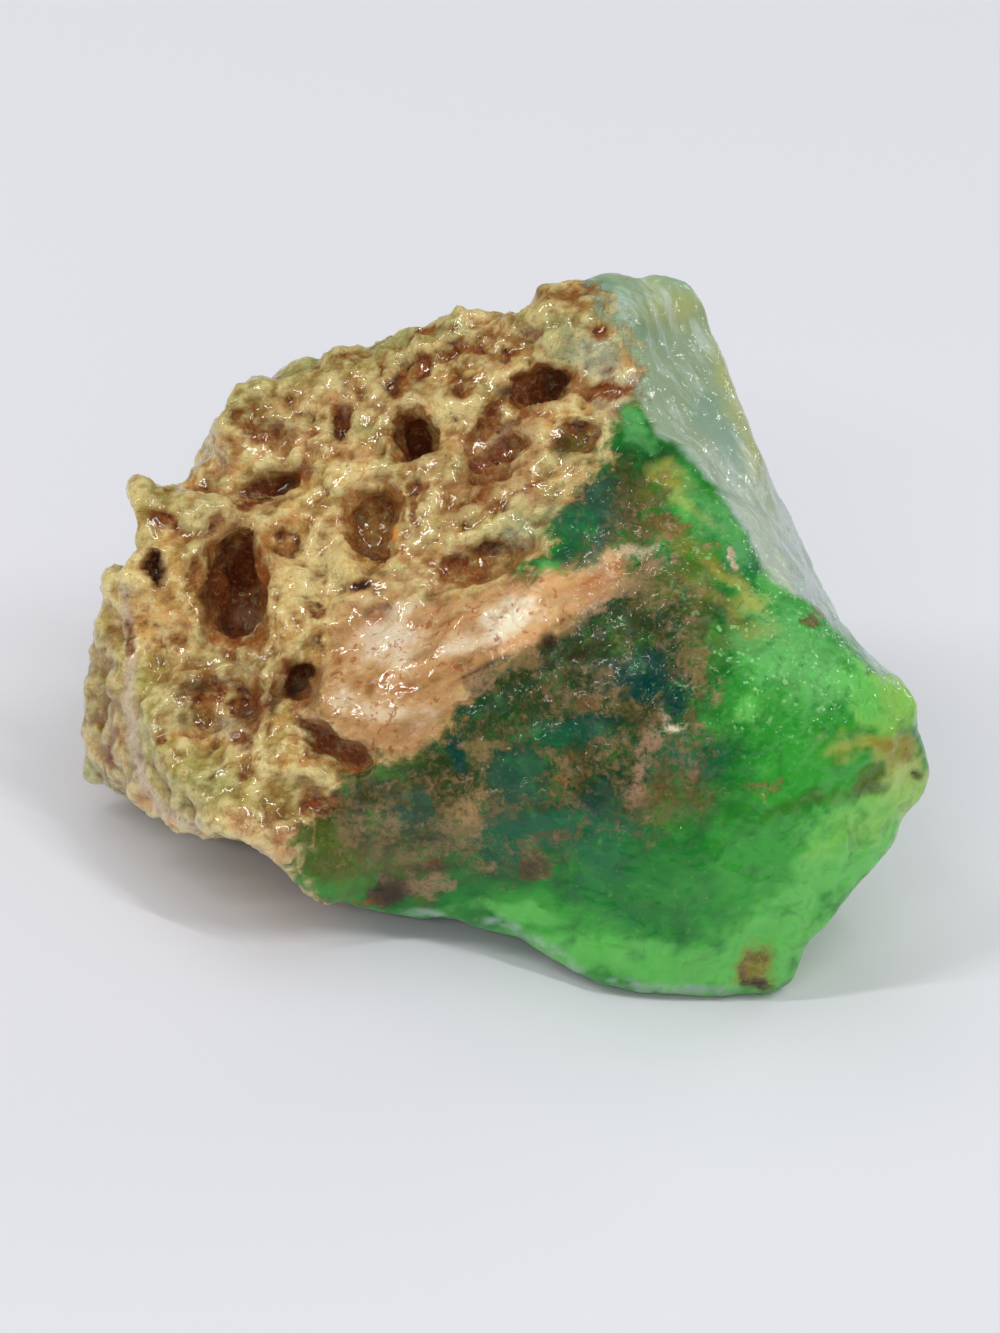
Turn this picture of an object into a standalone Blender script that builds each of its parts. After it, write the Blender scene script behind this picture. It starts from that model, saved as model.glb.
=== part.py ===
# A raw, unworked piece of chrysoprase, 64 mm across: one natural stone with a pitted crust on its sloping
# top and left, a lip of cream vein under the crust, and a smooth green body that runs out to a blunt tip.
#
# The stone is drawn in millimetres from its front toe, with +X to the right, +Y away from the front and
# +Z up, then moved over the origin and scaled to metres.

import math

import bmesh
import bpy
import numpy as np
from mathutils import Vector, noise

STONE_NAME = "chrysoprase_stone"
MM = 0.001

HEART = (0.0, 20.0, 15.0)          # every corner of the rough shape can be seen from here
SKIN_VOXEL = 0.6                   # grid that the rough shape and its lumps are laid on
EDGE_FILL = 0.25                   # given back to the edges after they have been smoothed
PIT_VOXEL = 0.45                   # finer grid once the pits are in
FACET_BUDGET = 9400                # triangles left on the finished stone
FOOT_DEPTH = 0.35                  # how much of the lowest bumps is worn flat to stand on

# The lower edge of the front, from the left end to the right. It hangs over the ground on the left and
# comes down to a green toe on the right.
LOWER_EDGE = [
    (-31.0, 12.7, 2.3), (-29.6, 11.5, 3.5), (-27.9, 9.6, 4.5), (-26.4, 6.0, 5.6), (-24.2, 3.5, 5.6),
    (-21.1, 0.5, 8.4), (-18.4, -1.4, 9.3), (-16.0, -1.2, 8.1), (-13.5, -0.9, 5.5), (-12.2, -0.3, 3.3),
    (-9.9, 1.7, 2.1), (-5.7, 3.1, 1.7), (-0.9, 3.0, 2.1), (2.9, 2.4, 1.9), (6.1, 1.4, 0.7),
    (9.4, 0.3, 0.3), (12.4, 0.5, 0.0), (16.8, 1.8, -0.2), (21.6, 3.4, -0.1), (23.4, 4.4, 0.4),
]

# The thin left end, from its foot up to the knob and the corner of the top block.
LEFT_END = [
    (-31.6, 13.0, 4.6), (-31.8, 13.5, 9.2), (-32.1, 14.0, 14.7), (-31.3, 14.5, 17.2), (-31.2, 15.5, 19.2),
    (-30.3, 15.5, 21.0), (-31.1, 17.0, 22.4), (-31.2, 19.0, 23.5), (-30.5, 22.0, 23.4), (-28.9, 25.0, 21.9),
    (-27.0, 27.0, 22.0), (-25.2, 28.0, 23.2), (-25.9, 27.0, 26.1), (-26.0, 28.5, 27.4), (-24.5, 30.0, 28.1),
]

# The top ridge, rising to the right, with a step up to the top knob.
TOP_RIDGE = [
    (-24.0, 31.0, 28.8), (-21.2, 32.0, 30.2), (-17.6, 33.0, 31.5), (-13.4, 33.5, 34.1), (-10.5, 34.0, 34.8),
    (-8.8, 34.0, 36.1), (-6.8, 34.3, 35.7), (-4.7, 34.0, 36.8), (-4.0, 33.5, 38.9), (-2.0, 34.0, 39.9),
    (0.9, 34.8, 40.4), (3.8, 35.2, 41.0), (7.4, 36.0, 40.8), (8.8, 35.5, 39.6),
]

# The outer edge of the pale broken face, down the right side to the tip and in under it to the toe.
RIGHT_EDGE = [
    (10.7, 33.8, 36.8), (12.3, 30.5, 34.6), (14.8, 27.5, 32.0), (15.7, 26.0, 30.4), (17.6, 23.0, 28.0),
    (20.5, 19.7, 25.2), (23.9, 17.0, 23.3), (25.9, 15.5, 22.6), (28.0, 14.0, 22.0), (29.1, 13.0, 21.1),
    (29.2, 12.5, 19.6), (30.7, 12.4, 17.6), (31.4, 12.4, 15.4), (31.0, 11.5, 13.9), (29.7, 10.5, 12.5),
    (29.3, 9.0, 11.2), (27.7, 7.5, 9.6), (26.0, 5.5, 7.0), (24.5, 4.5, 4.9), (23.6, 4.0, 2.3),
]

# The ridge between the front and the pale broken face.
BROKEN_RIDGE = [
    (3.0, 33.0, 39.9), (4.6, 28.5, 37.0), (6.2, 24.5, 34.1), (9.5, 22.3, 33.9), (12.6, 18.5, 32.2),
    (15.8, 15.5, 29.6), (19.1, 13.8, 27.7), (22.6, 12.5, 25.0), (25.9, 12.0, 23.1),
]

# The pale broken face, slightly dished between its two edges.
BROKEN_FACE = [(7.2, 30.5, 36.4), (10.9, 26.0, 33.2), (14.8, 21.5, 30.2), (18.9, 17.5, 27.2)]

# The lip of cream vein, where the sloping crust turns down into the steep front.
VEIN_LIP = [
    (-15.3, 5.1, 14.3), (-9.6, 4.8, 16.2), (-4.4, 7.0, 19.7), (1.5, 9.6, 23.3), (6.0, 12.4, 26.5),
    (10.5, 15.4, 29.8),
]

# The sloping crust, from the lip and the left rim up to the ridge.
CRUST = [
    (-25.3, 4.5, 6.6), (-27.8, 8.0, 8.2), (-28.8, 10.0, 12.1), (-30.0, 12.0, 15.9), (-30.4, 13.8, 18.3),
    (-23.8, 4.6, 11.1), (-18.5, 2.8, 12.1), (-24.0, 12.8, 16.8), (-20.0, 12.0, 17.8), (-15.0, 14.5, 21.2),
    (-9.0, 11.0, 20.9), (-26.5, 18.5, 20.2), (-20.0, 20.0, 23.2), (-14.0, 20.5, 25.6), (-8.0, 18.5, 26.4),
    (-2.0, 15.0, 26.0), (3.0, 18.0, 30.0), (7.5, 18.5, 31.4), (-25.8, 23.5, 22.2), (-23.6, 25.6, 24.6),
    (-18.0, 26.0, 27.6), (-12.0, 25.5, 29.5), (-5.0, 24.5, 31.3), (1.0, 25.0, 33.6), (-14.0, 30.0, 31.9),
    (-7.0, 30.5, 34.4), (-3.0, 30.8, 36.6), (1.0, 30.0, 37.4),
]

# The steep green front, its bulge and the soft crest that runs out to the tip.
FRONT = [
    (-15.0, 1.6, 10.2), (-11.0, 2.8, 12.4), (-11.0, 1.6, 7.0), (-7.0, 3.0, 9.6), (-4.5, 4.6, 15.0),
    (-0.2, 3.0, 13.3), (-1.5, 2.8, 7.5), (2.5, 6.4, 19.4), (4.5, 2.2, 9.5), (7.0, 2.3, 15.1),
    (7.2, 5.0, 22.0), (10.0, 0.9, 6.0), (11.0, 8.5, 26.3), (13.5, 3.1, 20.1), (15.2, 1.0, 10.6),
    (14.0, 8.0, 25.9), (18.5, 7.6, 24.3), (18.5, 3.6, 16.6), (20.0, 2.6, 8.0), (21.5, 5.4, 17.6),
    (23.0, 8.9, 23.0), (25.3, 8.4, 19.7), (24.2, 4.6, 11.0), (28.4, 11.0, 20.2), (28.3, 9.8, 16.4),
    (22.0, 3.0, 4.0), (17.0, 1.4, 4.5),
]

# The back and right side, broken off in a few large faces that all stay lower than the ridge.
BACK = [
    (-26.5, 33.0, 22.0), (-18.0, 38.0, 24.5), (-9.0, 40.5, 28.0), (0.0, 41.5, 31.8), (7.5, 41.5, 32.5),
    (-30.0, 27.0, 14.0), (-31.0, 21.0, 14.0), (-31.2, 18.5, 6.5), (-27.5, 33.5, 12.5), (-20.0, 40.5, 13.5),
    (-10.0, 43.5, 16.5), (2.0, 45.4, 18.0), (11.5, 43.0, 19.0), (12.5, 38.5, 28.0), (18.0, 34.0, 19.5),
    (18.6, 29.0, 24.2), (23.5, 25.0, 14.5), (25.3, 20.0, 18.6), (28.6, 16.4, 13.0), (24.8, 13.0, 4.5),
    (25.0, 22.0, 6.5), (19.0, 33.0, 8.0), (11.0, 41.0, 7.5), (-2.0, 44.0, 7.0), (-14.0, 41.5, 5.5),
    (-25.5, 35.0, 4.5), (-29.5, 27.0, 4.5),
]

# The underside, arched between a toe at the front and two feet at the back.
UNDERSIDE = [
    (-28.5, 19.0, 2.0), (-22.5, 9.0, 3.8), (-16.0, 6.0, 4.4), (-22.0, 25.0, -0.4), (-15.0, 15.0, 1.4),
    (-16.0, 27.0, -0.5), (-22.0, 32.0, 0.9), (-10.0, 7.0, 2.0), (-4.0, 9.0, 1.3), (-4.0, 18.0, 2.1),
    (-5.0, 29.0, 1.6), (-8.0, 38.5, 1.6), (4.0, 6.0, 0.4), (11.0, 4.0, -0.2), (17.0, 5.0, -0.2),
    (21.5, 8.0, 0.2), (8.0, 13.0, 1.4), (17.0, 15.0, 1.7), (7.0, 24.0, 2.0), (18.0, 24.0, 0.9),
    (13.0, 32.0, -0.3), (5.0, 36.0, -0.1), (3.0, 41.0, 1.3), (15.0, 36.0, 1.0), (22.0, 20.0, 1.4),
]

CORNERS = (LOWER_EDGE + LEFT_END + TOP_RIDGE + RIGHT_EDGE + BROKEN_RIDGE + BROKEN_FACE
           + VEIN_LIP + CRUST + FRONT + BACK + UNDERSIDE)

# Directions that the hollows are sunk along: square to the sloping crust, level into the front, or into the
# left end, the back and the right side.
CRUST_OUT = Vector((-0.28, -0.52, 0.80)).normalized()
LEDGE_OUT = Vector((-0.15, -0.90, 0.30)).normalized()
END_OUT = Vector((-0.75, -0.45, 0.45)).normalized()
BACK_OUT = Vector((0.10, 0.90, 0.35)).normalized()
SIDE_OUT = Vector((0.80, 0.55, 0.25)).normalized()

# Hollows: centre, half-width, half-length, turn in degrees, depth, rim height, direction.
PITS = [
    ((-22.0, 16.0, 19.4), 2.3, 4.4, 12, 5.0, 0.5, CRUST_OUT),      # the big square-cornered hollow
    ((-10.8, 25.3, 29.5), 1.7, 2.4, 14, 4.4, 0.5, CRUST_OUT),      # the deep round one above it
    ((-12.8, 19.1, 24.6), 2.0, 3.6, 10, 2.4, 0.3, CRUST_OUT),
    ((-28.5, 18.1, 18.9), 0.9, 1.7, 10, 3.0, 0.2, END_OUT),
    ((-20.7, 23.4, 24.8), 2.5, 1.2, 22, 2.2, 0.3, CRUST_OUT),
    ((-18.8, 18.8, 22.6), 1.4, 1.9, 0, 1.0, 0.2, CRUST_OUT),
    ((-21.3, 8.1, 14.3), 3.3, 2.3, 15, 1.5, 0.2, CRUST_OUT),
    ((-4.4, 15.8, 25.4), 4.4, 1.9, 24, 1.3, 0.2, CRUST_OUT),
    ((-2.0, 27.6, 34.0), 2.5, 1.5, 38, 2.7, 0.3, CRUST_OUT),       # the upper, deeper end of the long gash
    ((-4.6, 23.0, 30.2), 3.0, 1.9, 56, 1.6, 0.2, CRUST_OUT),
    ((1.4, 23.5, 32.6), 1.5, 1.4, 0, 1.4, 0.2, CRUST_OUT),
    ((-12.5, 30.5, 32.4), 1.1, 0.9, 0, 1.5, 0.2, CRUST_OUT),
    ((-9.2, 31.0, 33.6), 1.2, 0.8, 20, 1.1, 0.2, CRUST_OUT),
    ((-16.2, 26.6, 28.5), 0.9, 1.6, 0, 1.2, 0.2, CRUST_OUT),
    ((-22.7, 28.2, 27.3), 2.2, 1.0, 18, 0.9, 0.1, CRUST_OUT),
    ((-11.3, 12.3, 21.0), 1.7, 1.2, 10, 0.9, 0.1, CRUST_OUT),
    ((-22.2, 5.8, 12.5), 1.3, 0.9, 30, 1.0, 0.1, CRUST_OUT),
    ((-26.5, 12.5, 14.6), 1.0, 1.6, 10, 1.1, 0.2, CRUST_OUT),
    ((-18.6, 4.0, 12.4), 1.2, 0.8, 20, 0.8, 0.1, CRUST_OUT),
    ((-16.1, 8.9, 16.4), 1.8, 1.5, 10, 2.8, 0.3, LEDGE_OUT),       # the pocket beside the lip
    ((-12.5, 4.9, 14.2), 2.9, 1.4, -14, 2.4, 0.3, LEDGE_OUT),      # the pocket under the glossy ledge
    ((4.0, 43.2, 25.5), 6.5, 4.6, 20, 1.4, 0.3, BACK_OUT),         # shell-shaped scars on the back and side
    ((-12.5, 42.6, 17.0), 5.4, 4.2, -15, 1.3, 0.3, BACK_OUT),
    ((-3.0, 44.4, 9.5), 6.0, 3.0, 5, 0.9, 0.2, BACK_OUT),
    ((20.5, 30.5, 18.0), 5.2, 4.4, 0, 1.2, 0.3, SIDE_OUT),
    ((26.4, 18.6, 12.5), 3.4, 4.0, 10, 0.8, 0.2, SIDE_OUT),
    ((-24.5, 37.0, 17.5), 1.5, 2.0, 20, 1.3, 0.3, BACK_OUT),
    ((-20.5, 39.6, 9.5), 1.9, 1.3, -10, 1.2, 0.3, BACK_OUT),
    ((-27.5, 33.6, 10.5), 1.1, 1.5, 0, 1.0, 0.2, BACK_OUT),
]

# Blocks and knobs that stand proud: centre, half-width, half-length, turn in degrees, height, direction.
KNOBS = [
    ((-20.0, 28.6, 29.0), 6.4, 2.7, 16, 1.1, CRUST_OUT),           # the top left block
    ((-29.2, 20.3, 22.8), 2.9, 2.4, 0, 0.6, CRUST_OUT),            # the knob on the left shoulder
    ((0.8, 31.8, 38.2), 5.2, 3.4, 8, 0.8, CRUST_OUT),              # the knob at the top
    ((-8.9, 33.4, 35.6), 1.4, 1.3, 0, 0.9, CRUST_OUT),
    ((-24.6, 20.6, 22.2), 1.6, 1.5, 0, 0.6, CRUST_OUT),
    ((-17.0, 13.0, 20.0), 1.6, 2.6, 10, 0.8, CRUST_OUT),
    ((-25.0, 8.6, 12.6), 1.5, 2.4, 0, 0.6, END_OUT),
    ((-7.4, 27.4, 31.6), 1.5, 2.4, 20, 0.6, CRUST_OUT),
    ((-15.6, 22.4, 26.2), 1.3, 1.8, 0, 0.6, CRUST_OUT),
]

# Grooves along the surface: path, half-width, depth (raised where negative), direction.
GROOVES = [
    ([(-9.6, 4.4, 14.6), (-4.4, 6.4, 18.2), (1.5, 8.9, 21.9), (5.5, 11.4, 24.9)], 0.9, 0.55, LEDGE_OUT),
    ([(-28.0, 24.0, 21.8), (-23.5, 24.2, 23.4)], 1.4, 1.0, CRUST_OUT),
    ([(-17.5, 15.5, 20.8), (-17.0, 11.5, 18.2), (-18.5, 7.0, 14.6)], 1.3, -0.7, CRUST_OUT),
    ([(-8.4, 23.0, 28.6), (-8.9, 18.5, 25.8)], 1.2, -0.7, CRUST_OUT),
    ([(-13.0, 6.6, 17.0), (-9.4, 7.4, 18.4), (-5.0, 10.2, 21.6), (1.0, 12.6, 25.2)], 2.2, -0.7, CRUST_OUT),
    ([(-30.8, 13.2, 16.8), (-30.7, 12.4, 11.0), (-29.9, 12.0, 5.6)], 0.9, 0.9, END_OUT),
    ([(-12.6, 1.0, 9.4), (-13.8, 2.6, 12.0)], 1.0, 0.8, LEDGE_OUT),
    ([(13.0, 15.5, 29.4), (17.8, 10.0, 26.0), (21.0, 6.2, 20.8)], 1.2, -0.35, LEDGE_OUT),
    ([(8.0, 14.0, 28.2), (9.5, 8.0, 24.6), (9.0, 4.6, 20.4)], 1.1, 0.35, LEDGE_OUT),
]


def clear_scene():
    for thing in list(bpy.data.objects):
        bpy.data.objects.remove(thing)


def skin_through(corners, heart):
    """A closed skin through the corners, joined up in the order they show when seen from the heart."""
    middle = Vector(heart)
    bm = bmesh.new()
    places = [Vector(corner) for corner in corners]
    for place in places:
        bm.verts.new((place - middle).normalized())
    bmesh.ops.convex_hull(bm, input=bm.verts[:])
    bm.verts.ensure_lookup_table()
    for vert, place in zip(bm.verts, places):
        vert.co = place
    bmesh.ops.recalc_face_normals(bm, faces=bm.faces[:])
    mesh = bpy.data.meshes.new(STONE_NAME)
    bm.to_mesh(mesh)
    bm.free()
    return mesh


def with_modifier(stone, kind, **settings):
    """Runs one modifier and keeps its result as the stone's mesh."""
    modifier = stone.modifiers.new(kind.title(), kind)
    for name, value in settings.items():
        setattr(modifier, name, value)
    shaped = stone.evaluated_get(bpy.context.evaluated_depsgraph_get())
    result = bpy.data.meshes.new_from_object(shaped)
    stone.modifiers.clear()
    before = stone.data
    stone.data = result
    bpy.data.meshes.remove(before)


def places_and_outward(mesh):
    count = len(mesh.vertices)
    places = np.empty(count * 3)
    outward = np.empty(count * 3)
    mesh.vertices.foreach_get("co", places)
    mesh.vertices.foreach_get("normal", outward)
    return places.reshape(-1, 3), outward.reshape(-1, 3)


def put_back(mesh, places):
    mesh.vertices.foreach_set("co", places.astype(np.float32).ravel())
    mesh.update()


def smooth_step(value):
    value = np.clip(value, 0.0, 1.0)
    return value * value * (3.0 - 2.0 * value)


def crust_share(places, outward):
    """1 on the crust, 0 on the green body."""
    x, y, z = places.T
    lip_y = np.interp(x, [-16.0, -9.6, -4.4, 1.5, 6.0], [-4.0, 5.0, 7.5, 10.5, 14.0])
    behind_lip = smooth_step((y - lip_y) / 2.0 + 0.5)
    left_of_green = smooth_step((2.2 + 0.16 * (y - 15.0) - x) / 2.5 + 0.5)
    near_top = smooth_step((z - (13.0 + 0.35 * x + 0.64 * y)) / 3.0 + 0.5)
    left_end = smooth_step((-16.0 - x) / 4.0 + 0.5) * smooth_step((z - 4.0) / 4.0)
    return np.maximum(behind_lip * left_of_green * near_top, left_end)


def rolling(places, size, seed, octaves=3):
    """Fractal noise with lumps of about the given size."""
    shift = Vector((seed * 17.3, seed * 5.1, seed * 9.7))
    return np.array([noise.fractal(Vector(place) / size + shift, 1.0, 2.1, octaves) for place in places])


def add_lumps(mesh):
    """Rough crumbly crust and broad shell-like waves on the green body."""
    places, outward = places_and_outward(mesh)
    crust = crust_share(places, outward)
    crumbs = rolling(places, 2.8, 1)
    ridges = 0.5 - np.abs(rolling(places, 5.0, 2, 2))
    waves = rolling(places, 9.0, 3, 2)
    shells = np.abs(rolling(places, 6.5, 4, 2))
    rough = 0.75 * crumbs + 0.8 * (ridges - 0.3)
    smooth = 0.45 * waves - 0.45 * (shells - 0.2)
    rise = crust * rough + (1.0 - crust) * smooth
    put_back(mesh, places + outward * (rise + EDGE_FILL)[:, None])


def cross_axes(out, turn):
    """Two axes across a direction, the second rising straight away from the front, turned in degrees."""
    rising = Vector((0, out.z, -out.y)).normalized()
    level = rising.cross(out).normalized()
    c = math.cos(math.radians(turn))
    s = math.sin(math.radians(turn))
    return level * c + rising * s, rising * c - level * s


def ring_distance(places, centre, half_width, half_length, turn, out):
    """Distance from the centre, 1 on a wavering rounded square of the given size, and the height over it."""
    across, along = cross_axes(out, turn)
    away = places - np.array(centre)
    u = away @ np.array(across) / half_width
    v = away @ np.array(along) / half_length
    angle = np.arctan2(v, u)
    waver = 1.0 + 0.10 * np.sin(3.0 * angle + centre[0]) + 0.06 * np.sin(5.0 * angle + centre[1])
    radius = (np.abs(u) ** 2.6 + np.abs(v) ** 2.6) ** (1 / 2.6) / waver
    return radius, away @ np.array(out)


def sink_pit(places, centre, half_width, half_length, turn, depth, rim, out):
    radius, height = ring_distance(places, centre, half_width, half_length, turn, out)
    near = smooth_step(1.0 - (np.abs(height) - 3.0) / 2.0)
    bowl = smooth_step((1.10 - radius) / 0.55)
    lip = np.exp(-((radius - 1.25) / 0.22) ** 2)
    move = near * (rim * lip - depth * bowl)
    return places + move[:, None] * np.array(out)


def raise_knob(places, centre, half_width, half_length, turn, height, out):
    radius, above = ring_distance(places, centre, half_width, half_length, turn, out)
    near = smooth_step(1.0 - (np.abs(above) - 3.0) / 2.0)
    move = near * height * smooth_step((1.15 - radius) / 0.45)
    return places + move[:, None] * np.array(out)


def path_distance(places, path):
    nearest = np.full(len(places), 1e9)
    for start, end in zip(path[:-1], path[1:]):
        a = np.array(start)
        run = np.array(end) - a
        share = np.clip((places - a) @ run / (run @ run), 0.0, 1.0)
        nearest = np.minimum(nearest, np.linalg.norm(places - a - share[:, None] * run, axis=1))
    return nearest


def cut_groove(places, path, half_width, depth, out):
    """Sinks a groove along the path, or raises a ledge where the depth is negative."""
    hollow = smooth_step((half_width * 1.3 - path_distance(places, path)) / (half_width * 0.9))
    return places - (depth * hollow)[:, None] * np.array(out)


def carve(mesh):
    places, _ = places_and_outward(mesh)
    for knob in KNOBS:
        places = raise_knob(places, *knob)
    for path, half_width, depth, out in GROOVES:
        places = cut_groove(places, path, half_width, depth, out)
    for pit in PITS:
        places = sink_pit(places, *pit)
    put_back(mesh, places)


def stand_flat(mesh):
    """Cuts the feet flat and sets the middle of the stone's footprint over the origin."""
    bm = bmesh.new()
    bm.from_mesh(mesh)
    lowest = min(vert.co.z for vert in bm.verts)
    level = lowest + FOOT_DEPTH
    cut = bmesh.ops.bisect_plane(
        bm, geom=bm.verts[:] + bm.edges[:] + bm.faces[:], dist=0.01,
        plane_co=(0, 0, level), plane_no=(0, 0, 1), clear_inner=True)
    rim = [piece for piece in cut["geom_cut"] if isinstance(piece, bmesh.types.BMEdge)]
    bmesh.ops.holes_fill(bm, edges=rim, sides=0)
    bmesh.ops.triangulate(bm, faces=bm.faces[:])
    bmesh.ops.dissolve_degenerate(bm, dist=0.01, edges=bm.edges[:])
    bmesh.ops.triangulate(bm, faces=bm.faces[:])
    bmesh.ops.recalc_face_normals(bm, faces=bm.faces[:])
    xs = [vert.co.x for vert in bm.verts]
    ys = [vert.co.y for vert in bm.verts]
    shift = Vector((-(min(xs) + max(xs)) / 2, -(min(ys) + max(ys)) / 2, -level))
    print(f"moved by {shift.x:.3f} {shift.y:.3f} {shift.z:.3f} mm to stand over the origin")
    for vert in bm.verts:
        vert.co = (vert.co + shift) * MM
    bm.to_mesh(mesh)
    bm.free()


def green_stone():
    """The body's green, waxy and a little see-through."""
    material = bpy.data.materials.new("green_stone")
    material.use_nodes = True
    shader = material.node_tree.nodes["Principled BSDF"]
    shader.inputs["Base Color"].default_value = (0.12, 0.36, 0.12, 1.0)
    shader.inputs["Roughness"].default_value = 0.35
    shader.inputs["Metallic"].default_value = 0.0
    return material


def build_stone():
    mesh = skin_through(CORNERS, HEART)
    stone = bpy.data.objects.new(STONE_NAME, mesh)
    bpy.context.scene.collection.objects.link(stone)
    with_modifier(stone, "REMESH", mode="VOXEL", voxel_size=SKIN_VOXEL)
    with_modifier(stone, "SMOOTH", factor=0.5, iterations=4)
    add_lumps(stone.data)
    carve(stone.data)
    with_modifier(stone, "REMESH", mode="VOXEL", voxel_size=PIT_VOXEL)
    with_modifier(stone, "SMOOTH", factor=0.5, iterations=1)
    triangles = 2 * len(stone.data.polygons)
    with_modifier(stone, "DECIMATE", ratio=FACET_BUDGET / triangles, use_collapse_triangulate=True)
    stand_flat(stone.data)
    stone.data.materials.append(green_stone())
    return stone


clear_scene()
build_stone()
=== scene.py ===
import math
import bpy
import numpy as np
from mathutils import Matrix, Vector, noise


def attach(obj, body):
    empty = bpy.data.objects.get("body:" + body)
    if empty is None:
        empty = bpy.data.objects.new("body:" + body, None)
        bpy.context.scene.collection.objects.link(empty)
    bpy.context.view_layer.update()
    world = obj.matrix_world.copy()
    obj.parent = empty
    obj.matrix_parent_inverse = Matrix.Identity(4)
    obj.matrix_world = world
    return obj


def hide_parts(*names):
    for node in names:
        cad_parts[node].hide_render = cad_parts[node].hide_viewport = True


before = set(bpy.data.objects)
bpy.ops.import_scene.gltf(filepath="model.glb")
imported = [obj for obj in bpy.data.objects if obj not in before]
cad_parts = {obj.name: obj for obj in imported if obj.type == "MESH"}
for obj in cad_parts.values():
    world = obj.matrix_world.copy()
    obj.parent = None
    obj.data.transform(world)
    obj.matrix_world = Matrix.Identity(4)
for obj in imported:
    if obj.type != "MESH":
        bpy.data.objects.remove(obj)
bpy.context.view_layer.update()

millimetre = 0.001


def smoothStep(value):
    value = np.clip(value, 0.0, 1.0)
    return value * value * (3.0 - 2.0 * value)


# the camera, in mm and degrees
cameraSetup = {
    "aim": (-1.03, -2.14, 14.34),
    "distance": 419.2,
    "elevation": 32.0,
    "lean": 9.4,            # how far the camera is rolled
    "lens": 150.0,
    "sensor": 36.0,         # along the picture's longer side
    "clip": (10.0, 20000.0),
}


def cameraAxes(setup):
    rise = math.radians(setup["elevation"])
    lean = math.radians(setup["lean"])
    forward = Vector((0, math.cos(rise), -math.sin(rise)))
    levelUp = Vector((0, math.sin(rise), math.cos(rise)))
    levelRight = Vector((1, 0, 0))
    right = levelRight * math.cos(lean) + levelUp * math.sin(lean)
    up = levelUp * math.cos(lean) - levelRight * math.sin(lean)
    return right, up, forward


def addCamera(setup):
    right, up, forward = cameraAxes(setup)
    place = (Vector(setup["aim"]) - forward * setup["distance"]) * millimetre
    camera = bpy.data.cameras.new("stoneCamera")
    camera.lens = setup["lens"]
    camera.sensor_width = setup["sensor"]
    camera.clip_start, camera.clip_end = (reach * millimetre for reach in setup["clip"])
    holder = bpy.data.objects.new("stoneCamera", camera)
    turn = Matrix((right, up, -forward)).transposed()
    holder.matrix_world = Matrix.Translation(place) @ turn.to_4x4()
    bpy.context.scene.collection.objects.link(holder)
    bpy.context.scene.camera = holder
    print("camera set")


# The marks on the stone are laid out on a flat drawing held square to the same line of sight,
# 1000 units wide and 1333 high, so each one can be placed where it shows from the front.
drawingSheet = {
    "middle": (500.0, 666.5),
    "unitsPerTangent": 1333.0 * cameraSetup["lens"] / cameraSetup["sensor"],
}
edgeWander = 8      # how far the marks stray, in units of the sheet
viewAxes = [np.array(axis) for axis in cameraAxes(cameraSetup)]


def sheetPlace(places, outward):
    # sheet across, sheet down and how squarely each spot faces the sheet
    right, up, forward = viewAxes
    eye = np.array(cameraSetup["aim"]) - forward * cameraSetup["distance"]
    away = places - eye
    depth = away @ forward
    across = drawingSheet["middle"][0] + drawingSheet["unitsPerTangent"] * (away @ right) / depth
    down = drawingSheet["middle"][1] - drawingSheet["unitsPerTangent"] * (away @ up) / depth
    facing = -np.einsum("ij,ij->i", outward, away / np.linalg.norm(away, axis=1)[:, None])
    return across, down, facing


# the stone's fine skin, in mm and in passes of smoothing
fineSkin = {"weld": 0.002, "voxel": 0.35, "softenPasses": 2, "calmPasses": 12, "broadPasses": 90}


def meshArrays(mesh):
    count = len(mesh.vertices)
    places = np.empty(count * 3, np.float32)
    outward = np.empty(count * 3, np.float32)
    mesh.vertices.foreach_get("co", places)
    mesh.vertices.foreach_get("normal", outward)
    return places.reshape(-1, 3).astype(float) / millimetre, outward.reshape(-1, 3).astype(float)


def putBack(mesh, places):
    mesh.vertices.foreach_set("co", (places * millimetre).astype(np.float32).ravel())
    mesh.update()


def runModifier(piece, kind, **settings):
    modifier = piece.modifiers.new(kind.title(), kind)
    for name, value in settings.items():
        setattr(modifier, name, value)
    shaped = piece.evaluated_get(bpy.context.evaluated_depsgraph_get())
    mesh = bpy.data.meshes.new_from_object(shaped)
    piece.modifiers.clear()
    before = piece.data
    piece.data = mesh
    bpy.data.meshes.remove(before)


def fractalAt(places, size, seed, octaves=3, roughness=1.0):
    shift = Vector((seed * 17.31, seed * 5.13, seed * 9.71))
    spots = (Vector(place) / size + shift for place in places)
    return np.array([noise.fractal(spot, roughness, 2.1, octaves) for spot in spots])


def cellsAt(places, size, seed):
    # distance to the nearest cell middle, gap to the next one, and a number drawn for each cell
    shift = Vector((seed * 3.7, seed * 11.3, seed * 7.9))
    found = np.empty((len(places), 3))
    for index, place in enumerate(places):
        distances, middles = noise.voronoi(Vector(place) / size + shift)
        found[index] = distances[0], distances[1] - distances[0], noise.cell(middles[0] * 37.7)
    return found.T


def turned(across, down, turn):
    c, s = math.cos(math.radians(turn)), math.sin(math.radians(turn))
    return across * c + down * s, down * c - across * s


def ovalReach(across, down, oval):
    # 0 in the middle of a turned oval, 1 on its edge
    middleAcross, middleDown, halfWidth, halfHeight, turn = oval
    x, y = turned(across - middleAcross, down - middleDown, turn)
    return np.sqrt((x / halfWidth) ** 2 + (y / halfHeight) ** 2)


def inOvals(across, down, ovals):
    # each is across, down, half width, half height, turn, strength
    total = np.zeros(len(across))
    for oval in ovals:
        total = np.maximum(total, oval[5] * smoothStep(1.25 - ovalReach(across, down, oval[:5]) / 1.2))
    return total


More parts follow.
